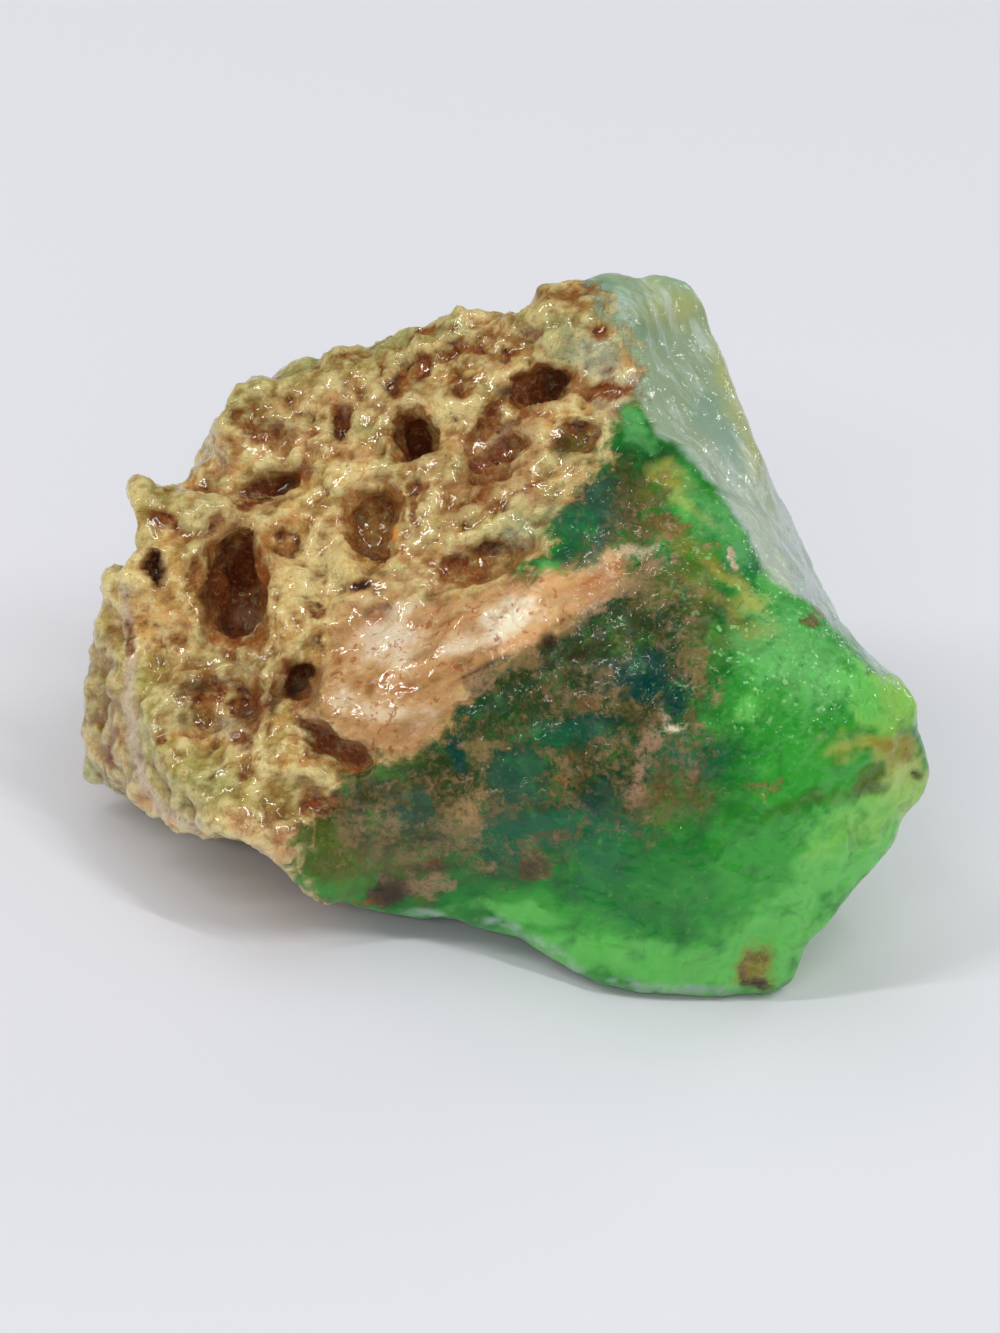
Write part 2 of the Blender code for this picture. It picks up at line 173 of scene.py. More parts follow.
def strokeDistance(across, down, stroke):
    spots = np.stack([across, down], 1)
    nearest = np.full(len(spots), 1e9)
    for start, end in zip(stroke[:-1], stroke[1:]):
        a = np.array(start, float)
        run = np.array(end, float) - a
        share = np.clip((spots - a) @ run / (run @ run), 0.0, 1.0)
        nearest = np.minimum(nearest, np.linalg.norm(spots - a - share[:, None] * run, axis=1))
    return nearest


def alongStroke(across, down, stroke, halfWidth):
    return smoothStep(1.5 - strokeDistance(across, down, stroke) / halfWidth)


def inOutline(across, down, outline, softness):
    # 1 inside a closed outline, fading to 0 across its edge
    inside = np.zeros(len(across), bool)
    for (x0, y0), (x1, y1) in zip(outline, outline[1:] + outline[:1]):
        rise = y1 - y0 if y1 != y0 else 1e-9
        crosses = (y0 > down) != (y1 > down)
        inside ^= crosses & (across < x0 + (down - y0) * (x1 - x0) / rise)
    reach = strokeDistance(across, down, outline + outline[:1])
    return np.clip(0.5 + np.where(inside, reach, -reach) / (2.0 * softness), 0.0, 1.0)


# where each kind of skin lies on the drawing sheet, and how softly it ends
skinOutlines = {
    "crust": ([(60, 840), (60, 420), (200, 300), (420, 240), (560, 230), (590, 285), (628, 330), (640, 392),
               (612, 430), (590, 470), (560, 520), (530, 560), (490, 640), (440, 735), (380, 750), (345, 785),
               (318, 815), (292, 850), (312, 912), (250, 890), (140, 840)], 26.0),
    "broken": ([(540, 240), (560, 290), (600, 350), (636, 400), (658, 432), (700, 462), (730, 503),
                (748, 537), (773, 574), (802, 600), (830, 616), (852, 640), (890, 676), (918, 698),
                (980, 700), (980, 240)], 9.0),
    "film": ([(290, 780), (340, 760), (440, 745), (480, 690), (540, 640), (600, 600), (560, 560), (560, 500),
              (600, 440), (660, 450), (700, 500), (735, 580), (750, 640), (735, 740), (740, 800), (700, 845),
              (600, 870), (500, 890), (400, 905), (310, 880), (285, 830)], 42.0),
    "sparkle": ([(680, 480), (720, 500), (830, 620), (870, 700), (800, 735), (700, 750), (665, 700),
                 (680, 600)], 34.0),
    "vein": ([(312, 700), (330, 640), (348, 604), (395, 596), (430, 606), (470, 594), (512, 580), (560, 568),
              (618, 555), (626, 580), (575, 618), (520, 652), (476, 680), (452, 704), (440, 738), (395, 752),
              (345, 742)], 20.0),
}


def skinZones(places, outward):
    across, down, facing = sheetPlace(places, outward)
    wander = fractalAt(places, 3.0, 11)
    wanderDown = fractalAt(places, 3.0, 12)
    x, _, z = places.T
    seen = smoothStep(facing * 5.0 + 0.6)
    zones = {"across": across, "down": down, "seen": seen,
             "looseAcross": across + edgeWander * wander, "looseDown": down + edgeWander * wanderDown}
    hidden = {
        "crust": smoothStep((-3.5 - x + 5.0 * wander + 0.3 * z) / 10.0),
        "film": smoothStep(0.35 + 1.2 * wanderDown - 0.05 * np.abs(x + 6.0)),
        "sparkle": np.full(len(places), 0.3),
        "vein": np.zeros(len(places)),
    }
    hidden["broken"] = smoothStep((z - 20.0 - 0.15 * x + 6.0 * wander) / 10.0) * (1.0 - hidden["crust"])
    for name, (outline, softness) in skinOutlines.items():
        shown = inOutline(zones["looseAcross"], zones["looseDown"], outline, softness)
        zones[name] = seen * shown + (1.0 - seen) * hidden[name]
    return zones


# hollows in the crust: across, down, half width, half height, turn, depth in mm, how brown
crustHollows = [
    (236, 590, 33, 60, 4, 1.5, 1.0), (414, 438, 20, 28, -30, 0.5, 0.95), (374, 525, 26, 42, 0, 0.45, 0.6),
    (153, 572, 11, 20, 0, 1.6, 1.2), (268, 490, 36, 13, -24, 0.8, 0.85), (300, 470, 10, 12, 0, 0.5, 0.85),
    (540, 386, 38, 15, -10, 1.1, 1.05), (500, 418, 46, 18, -48, 0.6, 0.72),
    (492, 470, 54, 24, -52, 0.3, 0.55), (294, 682, 20, 22, 0, 1.1, 0.95), (328, 736, 44, 22, 34, 0.1, 0.6),
    (205, 690, 26, 20, 10, 0.6, 0.7), (248, 705, 22, 26, 0, 0.7, 0.75), (480, 560, 58, 16, -12, 0.25, 0.42),
    (288, 545, 16, 22, 0, 0.4, 0.35), (580, 440, 26, 22, 0, 0.3, 0.35), (420, 367, 14, 11, -10, 0.6, 0.8),
    (395, 385, 10, 14, 10, 0.5, 0.8), (345, 425, 12, 24, 6, 0.4, 0.5), (340, 362, 26, 8, -14, 0.3, 0.45),
    (255, 425, 34, 15, 12, 0.3, 0.4), (362, 586, 14, 7, -8, 0.3, 0.7), (380, 612, 16, 9, -20, 0.2, 0.45),
    (560, 290, 34, 8, -4, 0.3, 0.55), (470, 348, 26, 8, 16, 0.4, 0.6), (468, 388, 18, 8, -20, 0.5, 0.7),
    (420, 500, 12, 28, 0, 0.4, 0.4), (192, 585, 9, 34, 8, 0.3, 0.5), (170, 640, 14, 16, 0, 0.3, 0.35),
    (160, 730, 6, 16, 4, 0.4, 0.6), (600, 392, 34, 7, 2, 0.3, 0.75), (380, 368, 6, 8, 0, 0.4, 0.7),
    (165, 520, 22, 8, 30, 0.3, 0.6), (430, 330, 14, 6, -20, 0.3, 0.4), (240, 740, 16, 8, 20, 0.4, 0.4),
    (130, 640, 5, 20, 0, 0.3, 0.5), (530, 330, 10, 6, 0, 0.2, 0.45), (600, 335, 12, 7, -20, 0.3, 0.4),
    (500, 355, 16, 8, 0, 0.4, 0.6), (108, 760, 6, 20, 0, 0.3, 0.5), (312, 610, 14, 10, 0, 0.3, 0.35),
    (325, 800, 24, 12, 0, 0.3, 0.6), (205, 530, 12, 8, -30, 0.3, 0.5), (330, 490, 8, 7, 0, 0.3, 0.3),
    (300, 420, 12, 7, 0, 0.2, 0.3),
]

# thin raised ledges that catch the light: points, half width, height in mm
brightLedges = [
    ([(300, 712), (322, 722), (345, 738), (372, 756)], 4.0, 0.45),
    ([(303, 655), (300, 668), (308, 680)], 3.0, 0.35),
    ([(322, 690), (345, 712), (362, 722)], 4.0, 0.35),
    ([(352, 700), (330, 670), (325, 640)], 4.0, 0.3),
    ([(205, 775), (225, 762)], 3.0, 0.3),
    ([(505, 522), (520, 530), (524, 540)], 4.0, 0.3),
    ([(462, 520), (490, 500), (520, 485)], 4.0, 0.3),
    ([(255, 812), (262, 818)], 3.0, 0.25),
    ([(215, 700), (262, 690), (262, 735)], 4.0, 0.3),
    ([(198, 640), (262, 655), (272, 640), (268, 560)], 4.0, 0.3),
]


def pressHollows(places, zones):
    forward = viewAxes[2]
    depth, brown, rim = (np.zeros(len(places)) for _ in range(3))
    for *oval, deep, dark in crustHollows:
        reach = ovalReach(zones["looseAcross"], zones["looseDown"], oval)
        depth = np.maximum(depth, deep * smoothStep((1.08 - reach) / 0.42))
        brown = np.maximum(brown, dark * smoothStep((1.45 - reach) / 0.8))
        rim = np.maximum(rim, dark * smoothStep(1.0 - np.abs(reach - 1.1) / 0.35))
    raised = np.zeros(len(places))
    for stroke, halfWidth, height in brightLedges:
        raised = np.maximum(raised, height * alongStroke(zones["across"], zones["down"], stroke, halfWidth))
    move = zones["seen"] * (depth - raised)
    return places + move[:, None] * forward, brown * zones["seen"], rim * zones["seen"]


# how high or deep each kind of small relief is, in mm
crustRelief = {"hiddenHollows": -0.8, "crumbs": 0.4, "coarse": 0.32, "lumps": 0.56, "pores": -0.26,
               "smallPores": -0.12}
greenRelief = {"ripples": 0.02, "dents": 0.1, "scales": -0.15, "chips": 0.14}


def carveFineCrust(places, outward, zones):
    crust = smoothStep(zones["crust"]) * (1.0 - 0.85 * zones["vein"])
    far, _, drawn = cellsAt(places, 2.1, 1)
    smallFar, _, smallDrawn = cellsAt(places, 1.0, 2)
    wideFar, _, wideDrawn = cellsAt(places, 6.5, 8)
    wide = smoothStep((0.48 - wideFar) / 0.22) * smoothStep((wideDrawn - 0.15) * 6.0) * (1.0 - zones["seen"])
    zones["brown"] = np.maximum(zones["brown"], 0.85 * wide * crust)
    crumbs = fractalAt(places, 1.5, 3, 5)
    coarse = fractalAt(places, 3.4, 9, 2)
    lumpFar, _, lumpDrawn = cellsAt(places + 0.5 * np.stack([crumbs, -crumbs, coarse], 1), 1.7, 4)
    lumps = (0.55 - lumpFar) * smoothStep(0.35 + 1.6 * coarse + 0.4 * lumpDrawn)
    lumps *= 1.0 - 0.8 * smoothStep(zones["brown"])
    pores = smoothStep((0.5 - far) / 0.3) * smoothStep((drawn - 0.55) * 4.0) * smoothStep(0.7 + coarse)
    smallPores = smoothStep((0.5 - smallFar) / 0.25) * smoothStep((smallDrawn - 0.5) * 4.0)
    forms = {"hiddenHollows": wide, "crumbs": crumbs, "coarse": coarse, "lumps": lumps, "pores": pores,
             "smallPores": smallPores}
    rise = crust * sum(crustRelief[name] * form for name, form in forms.items())
    zones["pores"] = pores * crust
    zones["smallPores"] = smallPores * crust
    return places + outward * rise[:, None]


def carveFineGreen(places, outward, zones):
    green = 1.0 - np.maximum(smoothStep(zones["crust"]), zones["vein"])
    ripples = np.sin(np.linalg.norm(places - np.array((24.0, -16.0, 30.0)), axis=1) * 2.3)
    dents = fractalAt(places, 2.2, 5, 4)
    scales = np.abs(fractalAt(places, 4.2, 6, 2))
    far, gap, drawn = cellsAt(places, 1.5, 7)
    chips = smoothStep((0.1 - gap) / 0.1) - 0.8 * drawn * smoothStep((0.5 - far) / 0.4)
    rise = green * (greenRelief["ripples"] * ripples + greenRelief["dents"] * dents
                    + greenRelief["scales"] * scales + greenRelief["chips"] * zones["sparkle"] * chips)
    return places + outward * rise[:, None]


def makeFineSkin(node, name, setup):
    skin = bpy.data.objects.new(name, node.data.copy())
    bpy.context.scene.collection.objects.link(skin)
    skin.data.materials.clear()
    runModifier(skin, "WELD", merge_threshold=setup["weld"] * millimetre)
    runModifier(skin, "REMESH", mode="VOXEL", voxel_size=setup["voxel"] * millimetre)
    runModifier(skin, "SMOOTH", factor=0.5, iterations=setup["softenPasses"])
    places, outward = meshArrays(skin.data)
    zones = skinZones(places, outward)
    places, zones["brown"], zones["rim"] = pressHollows(places, zones)
    putBack(skin.data, places)
    places, outward = meshArrays(skin.data)
    places = carveFineCrust(places, outward, zones)
    places = carveFineGreen(places, outward, zones)
    places[:, 2] = np.maximum(places[:, 2], 0.0)
    putBack(skin.data, places)
    print("fine skin:", len(skin.data.vertices), "points")
    return skin, zones


def smoothedShape(skin, passes):
    smoothed = bpy.data.objects.new("smoothedSkin", skin.data.copy())
    bpy.context.scene.collection.objects.link(smoothed)
    runModifier(smoothed, "SMOOTH", factor=0.5, iterations=passes)
    rounded, calm = meshArrays(smoothed.data)
    mesh = smoothed.data
    bpy.data.objects.remove(smoothed)
    bpy.data.meshes.remove(mesh)
    return rounded, calm


def store(mesh, name, values, kind="FLOAT", field="value"):
    layer = mesh.attributes.new(name, kind, "POINT")
    layer.data.foreach_set(field, np.asarray(values, np.float32).ravel())


def storeVector(mesh, name, vectors):
    store(mesh, name, vectors, "FLOAT_VECTOR", "vector")


def storeColour(mesh, name, colours):
    opaque = np.column_stack([colours, np.ones(len(colours))])
    store(mesh, name, opaque, "FLOAT_COLOR", "color")


# colours as seen on a screen, 0 to 255
stoneColours = {
    # also laid on the crust's ridges as a painted highlight
    "crustCream": (252, 232, 164),
    "paleOlive": (200, 190, 126),
    "crustGold": (240, 188, 106),
    "pinkTan": (218, 166, 118),
    "crustTan": (206, 146, 78),
    "crustOlive": (168, 150, 76),
    "oliveYellow": (186, 180, 84),
    "crustMint": (178, 186, 122),
    "oliveBrown": (142, 100, 42),
    "warmBrown": (156, 84, 34),
    "rimBrown": (168, 98, 34),
    "redBrown": (128, 56, 30),
    "pitBrown": (122, 46, 20),
    "pinkCream": (226, 204, 174),
    "veinCream": (255, 238, 206),
    "veinPeach": (222, 172, 112),
    "veinPale": (236, 198, 148),
    # pale chips in the green, partly painted glints
    "chipAndGlintMint": (176, 232, 160),
    "veinTan": (190, 144, 90),
    "rust": (176, 92, 40),
    "orange": (250, 156, 52),
    "filmBrown": (104, 80, 44),
    "filmTan": (146, 122, 78),
    "filmPink": (180, 140, 110),
    "oliveGreen": (92, 108, 30),
    "mossGreen": (48, 62, 24),
    "slate": (44, 88, 70),
    "veilTeal": (104, 132, 106),
    "mintGreen": (112, 194, 112),
    "deepTeal": (2, 62, 56),
    "blackGreen": (18, 34, 20),
    "darkGreen": (22, 62, 32),
    "seaGreen": (14, 104, 66),
    "emerald": (20, 128, 38),
    "brightGreen": (60, 172, 54),
    # mostly laid as painted glow where light shines through the thin stone, and as a few painted glints
    "glowGreen": (108, 204, 92),
    "lime": (152, 208, 96),
    "tipYellow": (190, 204, 112),
    "rustGold": (150, 134, 42),
    "purpleBrown": (60, 26, 30),
    # a near-black brown for real dark spots and for painted shade in deep hollows, pit walls and under the
    # vein's lip
    "spotAndShadeBrown": (46, 26, 16),
    "mint": (138, 166, 140),
    # also laid as the painted highlight along the foot and a painted glint on the crust
    "greyMint": (176, 192, 186),
    "deepMint": (118, 140, 116),
    "paleStreak": (216, 226, 222),
}


def linear(name):
    return tuple((value / 255.0 / 12.92) if value <= 10 else ((value / 255.0 + 0.055) / 1.055) ** 2.4
                 for value in stoneColours[name])


def washOver(colours, name, share):
    colours += np.clip(share, 0.0, 1.0)[:, None] * (np.array(linear(name)) - colours)


def inLooseOvals(zones, ovals):
    return inOvals(zones["looseAcross"], zones["looseDown"], ovals)


def layMarks(colours, marks, across, down, fray, spread, softness, share=1.0):
    for name, *oval, strength in marks:
        reach = ovalReach(across, down, oval) + fray
        washOver(colours, name, share * strength * smoothStep((1.4 + spread - reach) / softness))


def plain(name, places):
    return np.tile(np.array(linear(name)), (len(places), 1))


# broad colours of the green body: colour, across, down, half width, half height, turn, strength. The
# glowGreen and lime marks along the right side, the tip and the foot are partly painted glow, where light
# shines through the thin stone; glowGreen at 690, 515 and 750, 706 are painted glints
bodyMarks = [
    ("darkGreen", 520, 720, 200, 150, -10, 0.9), ("oliveGreen", 340, 800, 100, 90, 0, 0.9),
    ("mossGreen", 400, 800, 90, 60, 0, 0.8), ("slate", 415, 810, 26, 18, 0, 0.7),
    ("darkGreen", 620, 650, 110, 80, -20, 0.9), ("mossGreen", 590, 640, 90, 26, -24, 0.8),
    ("mossGreen", 600, 505, 50, 50, 0, 0.95), ("darkGreen", 640, 450, 40, 24, 0, 0.8),
    ("emerald", 640, 436, 30, 12, 10, 0.5), ("oliveGreen", 670, 490, 40, 14, -10, 0.9),
    ("oliveYellow", 668, 470, 20, 10, 20, 0.55), ("oliveYellow", 692, 512, 22, 6, 50, 0.5),
    ("rustGold", 668, 476, 16, 5, 10, 0.6), ("glowGreen", 690, 515, 14, 30, -20, 0.5),
    ("emerald", 715, 510, 20, 36, 0, 0.9), ("seaGreen", 750, 555, 24, 24, 0, 0.8),
    ("glowGreen", 780, 585, 16, 22, -50, 0.5), ("deepTeal", 645, 675, 26, 26, 0, 1.0),
    ("deepTeal", 676, 698, 13, 22, 0, 0.9), ("deepTeal", 590, 725, 24, 13, 0, 0.8),
    ("seaGreen", 560, 738, 36, 18, -10, 0.6), ("deepTeal", 458, 757, 10, 18, 0, 0.9),
    ("slate", 520, 775, 36, 26, 0, 0.9), ("mossGreen", 330, 800, 50, 40, 0, 0.7),
    ("deepTeal", 534, 822, 44, 10, -10, 0.9), ("deepTeal", 600, 800, 24, 26, 20, 0.8),
    ("seaGreen", 560, 835, 90, 24, 0, 0.8), ("seaGreen", 608, 890, 26, 50, -20, 0.8),
    ("mossGreen", 590, 765, 34, 22, 0, 0.7), ("darkGreen", 615, 790, 20, 20, 0, 0.7),
    ("mossGreen", 640, 712, 28, 12, 0, 0.7), ("seaGreen", 690, 760, 40, 40, 0, 0.6),
    ("oliveGreen", 700, 805, 50, 24, 0, 0.7), ("emerald", 680, 870, 90, 40, -14, 0.9),
    ("emerald", 755, 820, 50, 40, 0, 0.8), ("brightGreen", 790, 690, 80, 70, 30, 0.8),
    ("glowGreen", 800, 670, 50, 34, 30, 0.5), ("oliveGreen", 690, 580, 40, 20, -20, 0.8),
    ("oliveYellow", 745, 602, 28, 9, -6, 0.55), ("oliveGreen", 745, 635, 40, 16, 0, 0.5),
    ("oliveYellow", 772, 628, 14, 6, 0, 0.4), ("glowGreen", 750, 706, 12, 16, 0, 0.8),
    ("glowGreen", 830, 680, 30, 24, 40, 0.7), ("mossGreen", 600, 480, 40, 24, -30, 0.8),
    ("brightGreen", 560, 920, 80, 22, 16, 0.7), ("glowGreen", 630, 958, 130, 20, 6, 0.8),
    ("glowGreen", 510, 912, 50, 8, 8, 0.8), ("oliveGreen", 380, 875, 60, 24, 0, 0.7),
    ("brightGreen", 345, 888, 50, 12, 6, 0.35), ("oliveGreen", 320, 850, 40, 30, 0, 0.6),
    ("brightGreen", 770, 880, 80, 60, -50, 0.8), ("glowGreen", 850, 850, 90, 40, -50, 0.9),
    ("glowGreen", 770, 945, 60, 34, -40, 0.8), ("mintGreen", 800, 660, 70, 40, 40, 0.5),
    ("mintGreen", 716, 520, 16, 60, -35, 0.5), ("lime", 890, 705, 40, 34, 30, 0.85),
    ("glowGreen", 860, 690, 34, 20, 40, 0.8), ("brightGreen", 810, 770, 60, 30, -20, 0.7),
    ("oliveGreen", 820, 800, 62, 12, -20, 0.4), ("brightGreen", 842, 772, 34, 14, -10, 0.8),
    ("oliveYellow", 882, 752, 46, 15, 13, 0.8), ("rustGold", 892, 752, 26, 10, 16, 0.7),
    ("oliveGreen", 876, 778, 16, 12, -20, 0.85), ("tipYellow", 915, 792, 26, 30, 0, 0.8),
    ("lime", 880, 815, 60, 20, -30, 0.7), ("rustGold", 757, 966, 17, 20, 0, 0.75),
    ("brightGreen", 90, 775, 20, 30, 0, 1.0), ("slate", 585, 512, 40, 44, -30, 0.75),
    ("seaGreen", 574, 530, 24, 14, -30, 0.6), ("mintGreen", 634, 424, 30, 7, 40, 0.6),
    ("rustGold", 695, 552, 60, 8, 37, 0.55), ("oliveYellow", 735, 588, 44, 6, 37, 0.5),
    ("rustGold", 712, 600, 60, 7, 30, 0.5), ("oliveYellow", 690, 500, 40, 6, 50, 0.4),
    ("mossGreen", 660, 625, 46, 22, -20, 0.5), ("glowGreen", 562, 566, 16, 9, 0, 0.6),
    ("oliveGreen", 700, 640, 20, 40, 0, 0.4),
]

# flecks and patches on the body: colour, across, down, half width, half height, turn, strength
filmMarks = [
    ("filmTan", 590, 700, 22, 13, 20, 1.0), ("rust", 590, 702, 12, 6, 20, 0.5),
    ("filmBrown", 560, 690, 40, 14, 20, 0.8), ("filmPink", 640, 772, 11, 38, 12, 1.0),
    ("filmTan", 478, 747, 34, 9, 0, 0.9), ("rust", 555, 780, 12, 8, 0, 0.55),
    ("filmTan", 468, 812, 26, 28, 30, 0.9), ("veinPeach", 474, 808, 12, 13, 0, 0.55),
    ("filmPink", 452, 776, 16, 9, 10, 0.9), ("redBrown", 450, 775, 9, 6, 0, 0.6),
    ("veinCream", 675, 728, 11, 6, 0, 1.0), ("pinkCream", 667, 710, 5, 10, 0, 0.8),
    ("filmPink", 706, 727, 8, 5, 0, 0.8), ("filmTan", 695, 672, 9, 38, 4, 0.85),
    ("filmPink", 718, 697, 8, 20, 6, 0.9), ("filmBrown", 695, 800, 34, 16, 0, 0.7),
    ("rust", 660, 822, 6, 6, 0, 0.6), ("filmTan", 760, 785, 20, 12, 10, 0.6),
    ("rust", 662, 470, 8, 5, 0, 0.7), ("filmTan", 642, 574, 26, 10, -24, 0.9),
    ("veinTan", 672, 590, 22, 6, 30, 0.7), ("filmTan", 520, 664, 44, 10, -26, 0.9),
    ("filmPink", 470, 690, 30, 12, -30, 0.8), ("filmTan", 622, 560, 44, 8, -22, 0.9),
    ("pinkCream", 650, 545, 34, 5, -24, 0.8), ("filmPink", 600, 596, 40, 12, -20, 1.0),
    ("rust", 600, 592, 16, 5, 0, 0.6), ("pinkCream", 600, 562, 34, 6, -24, 0.8),
    ("filmBrown", 580, 584, 18, 4, -10, 0.8), ("filmTan", 425, 760, 30, 8, 0, 0.7),
    ("filmPink", 680, 618, 20, 12, 0, 0.5), ("filmTan", 705, 585, 20, 12, 0, 0.7),
    ("redBrown", 660, 525, 24, 10, -20, 0.9), ("rust", 680, 530, 20, 5, -20, 0.8),
    ("filmTan", 640, 585, 40, 10, -24, 0.8), ("filmPink", 690, 555, 26, 8, -10, 0.8),
    # blackGreen at 548, 641 and 575, 655 is painted shadow under the vein's overhanging lip
    ("filmBrown", 650, 525, 20, 14, 0, 0.8), ("blackGreen", 548, 641, 8, 8, 0, 1.0),
    ("blackGreen", 575, 655, 24, 6, -20, 0.7), ("rust", 325, 795, 20, 16, 0, 1.0),
    ("filmTan", 348, 832, 20, 8, -14, 0.8), ("filmTan", 385, 812, 22, 16, 0, 0.7),
    ("purpleBrown", 394, 892, 24, 18, -10, 1.1), ("filmPink", 424, 884, 34, 16, -10, 0.85),
    ("redBrown", 438, 866, 20, 6, 0, 1.0), ("filmBrown", 532, 868, 18, 16, -20, 1.0),
    ("rust", 508, 889, 14, 6, 0, 0.5), ("filmTan", 487, 864, 14, 8, 0, 0.7),
    ("rust", 757, 966, 18, 16, 4, 0.7), ("filmBrown", 744, 970, 4, 16, 0, 1.0),
    ("filmBrown", 757, 955, 16, 4, 4, 0.8), ("purpleBrown", 757, 984, 15, 7, 4, 1.2),
    ("filmPink", 815, 612, 14, 9, 40, 0.7), ("filmBrown", 808, 624, 14, 12, 30, 0.9),
    ("pinkCream", 735, 563, 4, 16, -20, 1.0), ("filmTan", 670, 470, 24, 5, 20, 0.5),
    ("redBrown", 616, 474, 10, 8, 0, 0.5), ("filmBrown", 640, 812, 30, 12, 0, 0.5),
    ("filmTan", 600, 930, 4, 30, -10, 0.5), ("filmTan", 330, 900, 20, 5, 0, 0.6),
    ("rust", 365, 902, 14, 4, 0, 0.7), ("filmTan", 320, 770, 30, 12, 20, 0.6),
    ("blackGreen", 917, 774, 5, 3, 30, 0.9), ("rust", 908, 754, 9, 8, 0, 0.6),
    ("filmTan", 520, 700, 40, 10, -10, 0.4),
]


# where the brown film is broken and the green shows: across, down, half width, half height, turn, strength
filmGaps = [
    (645, 675, 24, 24, 0, 1.0), (676, 700, 12, 20, 0, 0.9), (590, 725, 24, 13, 0, 1.0),
    (560, 740, 28, 13, 0, 0.8), (458, 757, 10, 18, 0, 0.9), (520, 775, 34, 22, 0, 0.9),
    (534, 822, 46, 12, -10, 1.0), (600, 802, 22, 26, 0, 0.9), (608, 885, 30, 50, 0, 1.0),
    (735, 655, 24, 50, 0, 0.9), (415, 808, 16, 20, 0, 0.5), (600, 655, 30, 10, -10, 0.6),
    (655, 620, 46, 18, -16, 0.6), (690, 560, 16, 16, 0, 0.5), (718, 640, 16, 40, 0, 0.8),
    (630, 650, 30, 8, -30, 0.6), (690, 500, 20, 24, 0, 0.7), (600, 500, 14, 30, 20, 0.6),
]

# small dark spots and creases, partly real spots and partly painted shadow under the vein's overhanging lip
# and on the shaded pit walls: across, down, half width, half height, turn, strength
darkSpotsAndShadow = [
    (548, 641, 10, 9, 0, 1.0), (430, 868, 30, 6, 0, 0.6), (528, 870, 22, 12, -20, 0.45),
    (575, 655, 30, 6, -20, 0.5), (484, 667, 28, 3, -28, 0.85), (361, 586, 12, 5, -5, 0.85),
    (377, 590, 6, 4, 0, 0.8), (366, 613, 5, 6, 0, 0.6), (388, 606, 6, 4, 0, 0.6), (318, 604, 3, 3, 0, 1.0),
    (305, 597, 3, 3, 0, 1.0), (290, 692, 8, 12, 0, 0.7), (206, 600, 7, 46, 6, 0.5),
    (160, 572, 8, 17, 0, 0.8), (503, 392, 8, 6, 0, 0.7), (402, 432, 9, 20, 10, 0.5),
    (274, 702, 7, 14, 20, 0.7), (198, 686, 14, 7, 0, 0.7), (376, 573, 14, 3, 0, 0.7),
    (562, 446, 9, 12, 0, 0.7), (391, 893, 21, 14, -8, 0.95), (757, 985, 11, 3, 3, 0.8),
    (917, 775, 7, 5, 30, 0.9), (455, 558, 10, 4, -30, 0.5), (500, 546, 14, 4, 0, 0.5),
    (282, 500, 18, 3, -20, 0.6), (245, 715, 12, 8, 0, 0.5), (345, 390, 4, 12, 0, 0.4),
    (395, 384, 4, 10, 0, 0.7), (457, 390, 7, 5, 0, 0.6), (418, 380, 8, 3, 0, 0.5),
]


# painted highlight: the pale glassy line along the foot, where light catches and shines through the thin
# edge: points, half width
paintedFootHighlight = [
    ([(312, 902), (345, 910), (385, 915), (430, 912), (455, 925), (500, 920)], 3.5),
    ([(500, 920), (540, 942), (575, 967), (640, 988), (740, 992)], 5.0),
]


def bodyTint(places, zones):
    wander = fractalAt(places, 3.5, 31, 4)
    fray = fractalAt(places, 1.0, 33, 3)
    across = zones["looseAcross"] + 9 * wander
    down = zones["looseDown"] - 9 * wander
    colours = plain("emerald", places)
    layMarks(colours, bodyMarks, across, down, 0.35 * fray, 0.3 * wander, 0.8)
    hidden = plain("emerald", places)
    tone = fractalAt(places, 12.0, 32, 3)
    x = places[:, 0]
    washOver(hidden, "darkGreen", smoothStep(0.5 + 1.6 * tone))
    washOver(hidden, "deepTeal", smoothStep(-0.2 + 2.0 * tone))
    washOver(hidden, "brightGreen", smoothStep((x - 8.0) / 16.0))
    washOver(hidden, "lime", smoothStep((x - 20.0 + 5 * wander) / 10.0))
    washOver(hidden, "oliveGreen", smoothStep((-4.0 - x + 5 * wander) / 9.0))
    # painted highlight along the foot's thin edge
    for stroke, halfWidth in paintedFootHighlight:
        footHighlightShare = alongStroke(zones["across"], zones["down"], stroke, halfWidth)
        washOver(colours, "greyMint", 0.6 * footHighlightShare * smoothStep(0.5 + wander + 1.2 * fray))
    seen = zones["seen"][:, None]
    return colours * seen + hidden * (1.0 - seen)


def filmTint(places, zones):
    # the thin brown skin and flecks on the body: their colour and how thickly they lie
    wander = fractalAt(places, 2.0, 41, 4)
    tone = fractalAt(places, 2.6, 42, 4)
    colours = plain("filmBrown", places)
    washOver(colours, "filmTan", 0.9 * smoothStep(0.35 + 1.5 * tone))
    fray = fractalAt(places, 1.2, 43, 3)
    amount = 0.4 * zones["film"] - 0.4
    for name, *oval, strength in filmMarks:
        reach = ovalReach(zones["looseAcross"], zones["looseDown"], oval) + 0.45 * fray
        inMark = zones["seen"] * strength * smoothStep(1.5 + 0.5 * wander - reach)
        washOver(colours, name, inMark)
        amount = np.maximum(amount, 0.56 * inMark - 0.4)
    amount -= 0.22 * zones["seen"] * inLooseOvals(zones, filmGaps)
    return colours, amount


